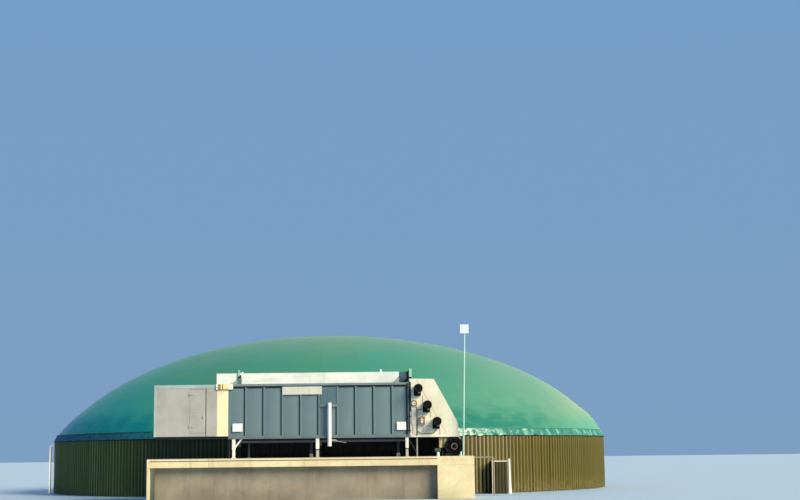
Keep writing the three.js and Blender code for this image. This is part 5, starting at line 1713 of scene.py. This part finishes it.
class DIGESTER_OT_underframe(Operator):
    """White trestles, dark girders, the push floor's gear and the near-black sheet behind them, which stands
    in for the deep shade there
    """
    bl_idname = "digester.underframe"
    bl_label = "Underframe"

    def execute(self, context):
        low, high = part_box("bin_base_frame")
        front, back, top = low.y, high.y, low.z
        for i, (x, half) in enumerate(((-2.94, 0.064), (0.34, 0.068), (3.84, 0.062))):
            node = f"trestle_{i + 1}"
            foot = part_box(node)[0].z
            pieces = [self.leg(x, front + 0.02, foot, top, half)]
            pieces.append(slat(x, 0.058, (front + 0.1, 2.098), (back - 0.1, 2.216), 0.008))
            if i == 0:
                brace = plate([(x, 2.018), (x, 1.934), (x + 0.346, top),
                               (x + 0.262, top)], front + 0.062, front + 0.118)
                pieces.append(softened(brace, 0.005, 1))
            settle(pieces, f"{node}_frame", "leg_paint", [node])
            shoe = self.foot(x, front + 0.02, foot, half)
            settle(shoe, f"{node}_foot", "leg_paint" if i == 0 else "foot_paint")
            if i > 0:
                band = slat(x, half + 0.001, (front + 0.021, 1.925), (front + 0.178, 1.953), 0.002, 1)
                settle(band, f"{node}_band", "dark_paint")
            # The rear legs are dark: painted shade; the front legs are white
            rear = [self.leg(x, back - 0.19, foot, top, half), self.foot(x, back - 0.19, foot, half)]
            settle(rear, f"{node}_rear_leg", "dark_paint")
        for node in ("girder_front", "girder_back"):
            low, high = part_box(node)
            middle = (low.y + high.y) / 2
            parts = [
                within(low, high, (0, 0, 0), (0, 0, 0.014), 0.003, 1),
                within(low, high, (0, 0, -0.014), (0, 0, 0), 0.003, 1),
                block((low.x, middle - 0.005, low.z + 0.01), (high.x, middle + 0.005, high.z - 0.01)),
            ]
            for i in range(13):
                x = low.x + 0.2 + i * (high.x - low.x - 0.4) / 12
                parts.append(slat(x, 0.005, (low.y + 0.01, low.z + 0.012), (high.y - 0.01, high.z - 0.012)))
            settle(parts, f"{node}_beam", "dark_paint", [node])
            face = low.y if node == "girder_front" else high.y - 0.012
            lip = block((low.x + 0.002, face + 0.001, low.z + 0.001),
                        (high.x - 0.002, face + 0.011, low.z + 0.088), 0.003, 1)
            settle(lip, f"{node}_lip", "girder_paint")
        self.push_floor()
        self.small_parts(front, top)
        self.guard()
        return {"FINISHED"}

    def leg(self, x, y, foot, top, half):
        """Upper tube of a leg, with its top plate"""
        tube = slat(x, half, (y + 0.002, foot + 0.325), (y + 0.168, top - 0.012), 0.012, 3)
        head = slat(x, 0.085, (y, top - 0.014), (y + 0.17, top), 0.003, 1)
        return join([tube, head])

    def foot(self, x, y, foot, half):
        """Inner tube of a leg on its foot plate"""
        tube = slat(x, half - 0.011, (y + 0.013, foot + 0.012), (y + 0.157, foot + 0.36), 0.01, 2)
        base = slat(x, 0.085, (y, foot), (y + 0.17, foot + 0.014), 0.003, 1)
        heads = [(x + dx, y + 0.085 + dy, foot + 0.014) for dx in (-0.077, 0.077) for dy in (-0.077, 0.077)]
        return join([tube, base, bolts(heads, 0.005, 0.012, UP)])

    def push_floor(self):
        """Props under the front girder, and the cylinder that moves the floor"""
        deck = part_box("trestle_1")[0].z
        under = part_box("girder_front")[0].z
        legs, shoes = [], []
        for x, width in ((-2.38, 0.07), (0.07, 0.105), (3.5, 0.11)):
            half = width / 2
            legs.append(slat(x, half, (-17.68, deck + 0.014), (-17.68 + width, under - 0.01), 0.008))
            legs.append(slat(x, half + 0.02, (-17.78, under - 0.012), (-17.6, under), 0.003, 1))
            shoes.append(slat(x, half + 0.03, (-17.71, deck), (-17.65 + width, deck + 0.015), 0.003, 1))
            if x > 0:
                shoes.append(
                    slat(x, half + 0.012, (-17.692, deck + 0.014), (-17.668 + width, deck + 0.15), 0.006, 1))
        # The push floor's legs are dark: painted shade
        settle(legs, "push_floor_legs", "dark_paint")
        settle(shoes, "push_floor_shoes", "foot_paint")
        cylinder = [rod((-2.0, -16.9, 2.28), (1.2, -16.9, 2.28), 0.075, 28, 0.008),
                    rod((1.2, -16.9, 2.28), (2.6, -16.9, 2.28), 0.035, 20)]
        for x in (-2.0, 0.9):
            cylinder.append(slat(x, 0.03, (-17.02, 2.2), (-16.78, 2.5), 0.006))
        cylinder.append(block((2.55, -17.0, 2.22), (2.63, -16.8, 2.5), 0.006))
        settle(cylinder, "push_floor_cylinder", "dark_paint")

    def small_parts(self, front, top):
        """Return pipe, strut and tube bracket near the front edge"""
        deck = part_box("trestle_1")[0].z
        y = front + 0.15
        pipe = [upright(-3.112, y, deck, top + 0.004, 0.036, 20, 0.002),
                upright(-3.112, y, deck, deck + 0.03, 0.046, 20, 0.004),
                upright(-3.112, y, top - 0.05, top, 0.044, 20, 0.004)]
        settle(pipe, "return_pipe", "dark_paint")
        strut = rod((3.888, front + 0.06, top - 0.004), (4.205, front + 0.06, 1.765), 0.012, 12, 0.002)
        settle(strut, "prop_strut", "dark_paint")
        bar = plate([(0.86, 2.335), (0.86, 2.265), (1.1, 2.245), (1.465, 2.178), (1.47, 2.196), (1.12, 2.27),
                     (1.06, 2.325)], front - 0.026, front + 0.01)
        settle(softened(bar, 0.004, 1), "side_tube_lever", "prop_paint")

    def guard(self):
        """Ribbed near-black sheet that closes the space behind the rear legs, standing in for the deep shade
        there
        """
        low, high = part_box("rear_guard")
        count = round((high.x - low.x) / 0.2)
        line = waves(low.x, high.x, count, low.y + 0.003, high.y - 0.003, (0.3, 0.38, 0.62, 0.7))
        settle(standing(line, low.z, high.z, 0.004), "rear_guard_sheet", "guard_paint", ["rear_guard"])


class DIGESTER_OT_work_light(Operator):
    """Square flood light on its pole"""
    bl_idname = "digester.work_light"
    bl_label = "Work light"

    def execute(self, context):
        low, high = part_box("light_pole")
        y = (low.y + high.y) / 2
        foot, head = Vector((6.025, y, low.z)), Vector((6.14, y, high.z))

        def on_pole(z):
            return foot.lerp(head, (z - low.z) / (high.z - low.z))
        pole = rod(foot + UP * 0.005, head - UP * 0.01, 0.038, 24)
        cap = rod(on_pole(high.z - 0.03), head, 0.04, 24, 0.006)
        socket = rod(foot, on_pole(low.z + 0.1), 0.04, 24, 0.003)
        collars = [rod(on_pole(z), on_pole(z + 0.05), 0.0398, 24, 0.003) for z in (3.2, 4.9)]
        settle([pole, cap, socket, *collars], "light_pole_tube", "pole_paint", ["light_pole"])
        low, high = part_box("light_head")
        case = within(low, high, (0, 0.02, 0.01), (0, 0, 0), 0.012, 3)
        bezel = sunk(within(low, high, (0, 0, 0.01), (0, 0.03, 0), 0.006), (0.016, 0.01))
        fins = [block((low.x + 0.025 + i * 0.03, high.y - 0.004, low.z + 0.04),
                      (low.x + 0.031 + i * 0.03, high.y, high.z - 0.03)) for i in range(10)]
        stirrup = slat(head.x, 0.05, (y - 0.03, low.z), (y + 0.03, low.z + 0.02), 0.003, 1)
        settle([case, bezel, *fins, stirrup], "light_head_case", "white_paint", ["light_head"])
        glass = within(low, high, (0.018, 0.004, 0.028), (-0.018, 0.011, -0.018), 0.001, 1)
        settle(glass, "light_glass", "lamp_glass")
        return {"FINISHED"}


class DIGESTER_OT_at_tank_wall(Operator):
    """Guard rail, service box, vent and downpipe at the tank's wall"""
    bl_idname = "digester.at_tank_wall"
    bl_label = "Pieces at the tank wall"

    def execute(self, context):
        low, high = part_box("service_box")
        line = waves(low.x, high.x, 5, low.y + 0.03, low.y + 0.004, (0.15, 0.3, 0.7, 0.85))
        front = standing(line, low.z + 0.01, high.z - 0.04, 0.003)
        body = within(low, high, (0.004, 0.034, 0), (-0.004, -0.004, -0.05), 0.006)
        # The box's front is painted dark as shade
        settle([front, body], "service_box_sheets", "box_paint", ["service_box"])
        lid = within(low, high, (0, 0, -0.05), (0, 0, 0), 0.008)
        edge = within(low, high, (0, 0, 0), (0.032, 0.05, -0.045), 0.004)
        settle([lid, edge], "service_box_trims", "duct_paint", slot="galvanised")

        low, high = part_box("vent")
        x, y = (low.x + high.x) / 2, (low.y + high.y) / 2
        profile = [(0.0475, low.z), (0.095, low.z), (0.095, 0.05), (0.088, 0.1), (0.07, 0.4), (0.058, 0.75),
                   (0.048, 1.1), (0.047, 1.4), (0.044, 1.46), (0.03, high.z), (0.02, high.z - 0.01)]
        vent = move(outward(turned(profile, 32)), (x, y, 0))
        settle(vent, "vent_pipe", "white_plastic", ["vent"], smooth=60)

        low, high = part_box("guard_rail")
        y = (low.y + high.y) / 2
        rail = bent([(low.x + 0.002, y, high.z - 0.025), (high.x - 0.025, y, high.z - 0.025),
                     (high.x - 0.025, y, low.z + 0.008)], 0.0245, 0.12, 4)
        flange = rod((low.x + 0.0005, y, high.z - 0.025), (low.x + 0.012, y, high.z - 0.025), 0.024, 20)
        foot = upright(high.x - 0.025, y, low.z, low.z + 0.01, 0.0245, 20)
        settle([rail, flange, foot], "guard_rail_tube", "guard_steel", ["guard_rail"])

        outwards = Vector((cos(DOWNPIPE_ANGLE), sin(DOWNPIPE_ANGLE), 0))
        axis, top = DOWNPIPE_RADIUS, 2.33
        pipe = bent([outwards * 14.002 + UP * top, outwards * axis + UP * top,
                     outwards * axis + UP * 0.004], 0.054, 0.11, 5)
        sleeves = [rod(outwards * axis + UP * z, outwards * axis + UP * (z + 0.07), 0.0548, 28, 0.003)
                   for z in (2.1, 1.05, 0.05)]
        settle([pipe, *sleeves], "downpipe_tube", "white_plastic", ["downpipe"])
        clips = [rod(outwards * 14.0 + UP * z, outwards * (axis - 0.04) + UP * z, 0.012, 10)
                 for z in (1.62, 0.62)]
        settle(clips, "downpipe_clips", "galvanised")
        return {"FINISHED"}


class DIGESTER_OT_frame_finishes(Operator):
    """Finishes of the pieces whose shape is already right in the frame"""
    bl_idname = "digester.frame_finishes"
    bl_label = "Frame finishes"

    def execute(self, context):
        others = {
            "concrete": "pale_concrete", "concrete_shaded": "shaded_concrete", "cladding": "cladding_paint",
            "dark_steel": "dark_paint", "motor_black": "black_paint", "pump_green": "pump_paint",
        }
        for part in frame["record"]["subparts"]:
            node, slot = frame["nodes"][part["node"]], part["material_slot"]
            node.data.materials.clear()
            node.data.materials.append(material(others.get(slot, slot)))
        frame["nodes"]["housing_prop"].data.materials[0] = material("prop_paint")
        return {"FINISHED"}


class DIGESTER_OT_stage(Operator):
    """Pale floor, soft sky, low sun and the camera"""
    bl_idname = "digester.stage"
    bl_label = "Stage"

    def execute(self, context):
        scene = context.scene
        clear_selection()
        bpy.ops.mesh.primitive_plane_add(size=900, location=(0, 0, -0.002))
        floor = context.object
        floor.name = "stage_floor"
        finish = Finish("stage_floor")
        finish.start(finish.noise(0.02, 2.0), FLOOR_COOL, FLOOR_PALE)
        finish.done(roughness=0.85)
        floor.data.materials.append(finish.material)
        self.sky(scene)
        self.lamp("key", "SUN", Vector((0.87, -0.645, 0.65)), SUN_STRENGTH, SUN_COLOUR, angle=SUN_SOFTNESS)
        self.lamp("back_fill", "SUN", Vector((0, 1, 0.12)), 1.2, "ffffff", angle=radians(60))
        # A narrow light that reaches the downpipe past the tank's shaded side
        place, aim = Vector((-17.5, -9.5, 1.4)), Vector((-13.85, -3.2, 1.2))
        pipe_lamp = self.lamp("pipe_lamp", "SPOT", place - aim, PIPE_LAMP_POWER, SUN_COLOUR,
                              spot_size=radians(21), spot_blend=0.4, shadow_soft_size=0.5)
        pipe_lamp.location = place
        pipe_lamp.visible_camera = False

        lens = bpy.data.cameras.new("camera")
        lens.lens = CAMERA_LENS
        lens.sensor_width = 36
        lens.clip_end = 2000
        camera = bpy.data.objects.new("camera", lens)
        turn = Matrix.Rotation(pi / 2 + CAMERA_PITCH, 4, "X") @ Matrix.Rotation(CAMERA_ROLL, 4, "Z")
        camera.matrix_world = Matrix.Translation(CAMERA_PLACE) @ turn
        scene.collection.objects.link(camera)
        scene.camera = camera
        scene.view_settings.view_transform = "Standard"
        return {"FINISHED"}

    def sky(self, scene):
        """A plain sky that deepens with height"""
        world = bpy.data.worlds.new("pale_sky")
        scene.world = world
        world.use_nodes = True
        nodes = Nodes(world.node_tree, "Generated")
        rise = nodes.add("ShaderNodeMapRange", {}, {0: nodes.axes()[2], 1: 0.0, 2: 0.7})
        sockets = nodes.tree.nodes["Background"].inputs
        nodes.plug(sockets["Color"], nodes.mix(rise, SKY_LOW, SKY_HIGH))
        nodes.plug(sockets["Strength"], SKY_STRENGTH)

    def lamp(self, name, kind, towards, energy, tint, **settings):
        """A light that comes from one direction, with the settings of its kind"""
        light = bpy.data.lights.new(name, kind)
        light.energy = energy
        light.color = colour(tint)[:3]
        for key, value in settings.items():
            setattr(light, key, value)
        lamp = bpy.data.objects.new(name, light)
        lamp.rotation_euler = towards.to_track_quat("Z", "Y").to_euler()
        bpy.context.scene.collection.objects.link(lamp)
        return lamp


PIECES = (
    DIGESTER_OT_frame_finishes,
    DIGESTER_OT_gas_dome,
    DIGESTER_OT_skirt,
    DIGESTER_OT_seam,
    DIGESTER_OT_cladding,
    DIGESTER_OT_deck,
    DIGESTER_OT_bin,
    DIGESTER_OT_splash_board,
    DIGESTER_OT_hydraulics,
    DIGESTER_OT_access_door,
    DIGESTER_OT_cylinder_post,
    DIGESTER_OT_discharge,
    DIGESTER_OT_gear_motors,
    DIGESTER_OT_wiring,
    DIGESTER_OT_feed_screw,
    DIGESTER_OT_side_tube,
    DIGESTER_OT_underframe,
    DIGESTER_OT_work_light,
    DIGESTER_OT_at_tank_wall,
)


class DIGESTER_PT_panel(Panel):
    """Lists the digester's pieces"""
    bl_idname = "DIGESTER_PT_panel"
    bl_label = "Biogas digester"
    bl_space_type = "VIEW_3D"
    bl_region_type = "UI"
    bl_category = "Digester"

    def draw(self, context):
        for name in DigesterSizes.__annotations__:
            self.layout.prop(context.scene.digester_sizes, name)
        for piece in (DIGESTER_OT_stage, *PIECES):
            self.layout.operator(piece.bl_idname)


CLASSES = (DigesterSizes, DIGESTER_OT_stage, *PIECES, DIGESTER_PT_panel)


def register():
    for made in CLASSES:
        bpy.utils.register_class(made)
    bpy.types.Scene.digester_sizes = bpy.props.PointerProperty(type=DigesterSizes)


def unregister():
    del bpy.types.Scene.digester_sizes
    for made in reversed(CLASSES):
        bpy.utils.unregister_class(made)


def main():
    register()
    for operator in (DIGESTER_OT_stage, *PIECES):
        family, name = operator.bl_idname.split(".")
        getattr(getattr(bpy.ops, family), name)()


if __name__ == "__main__":
    main()
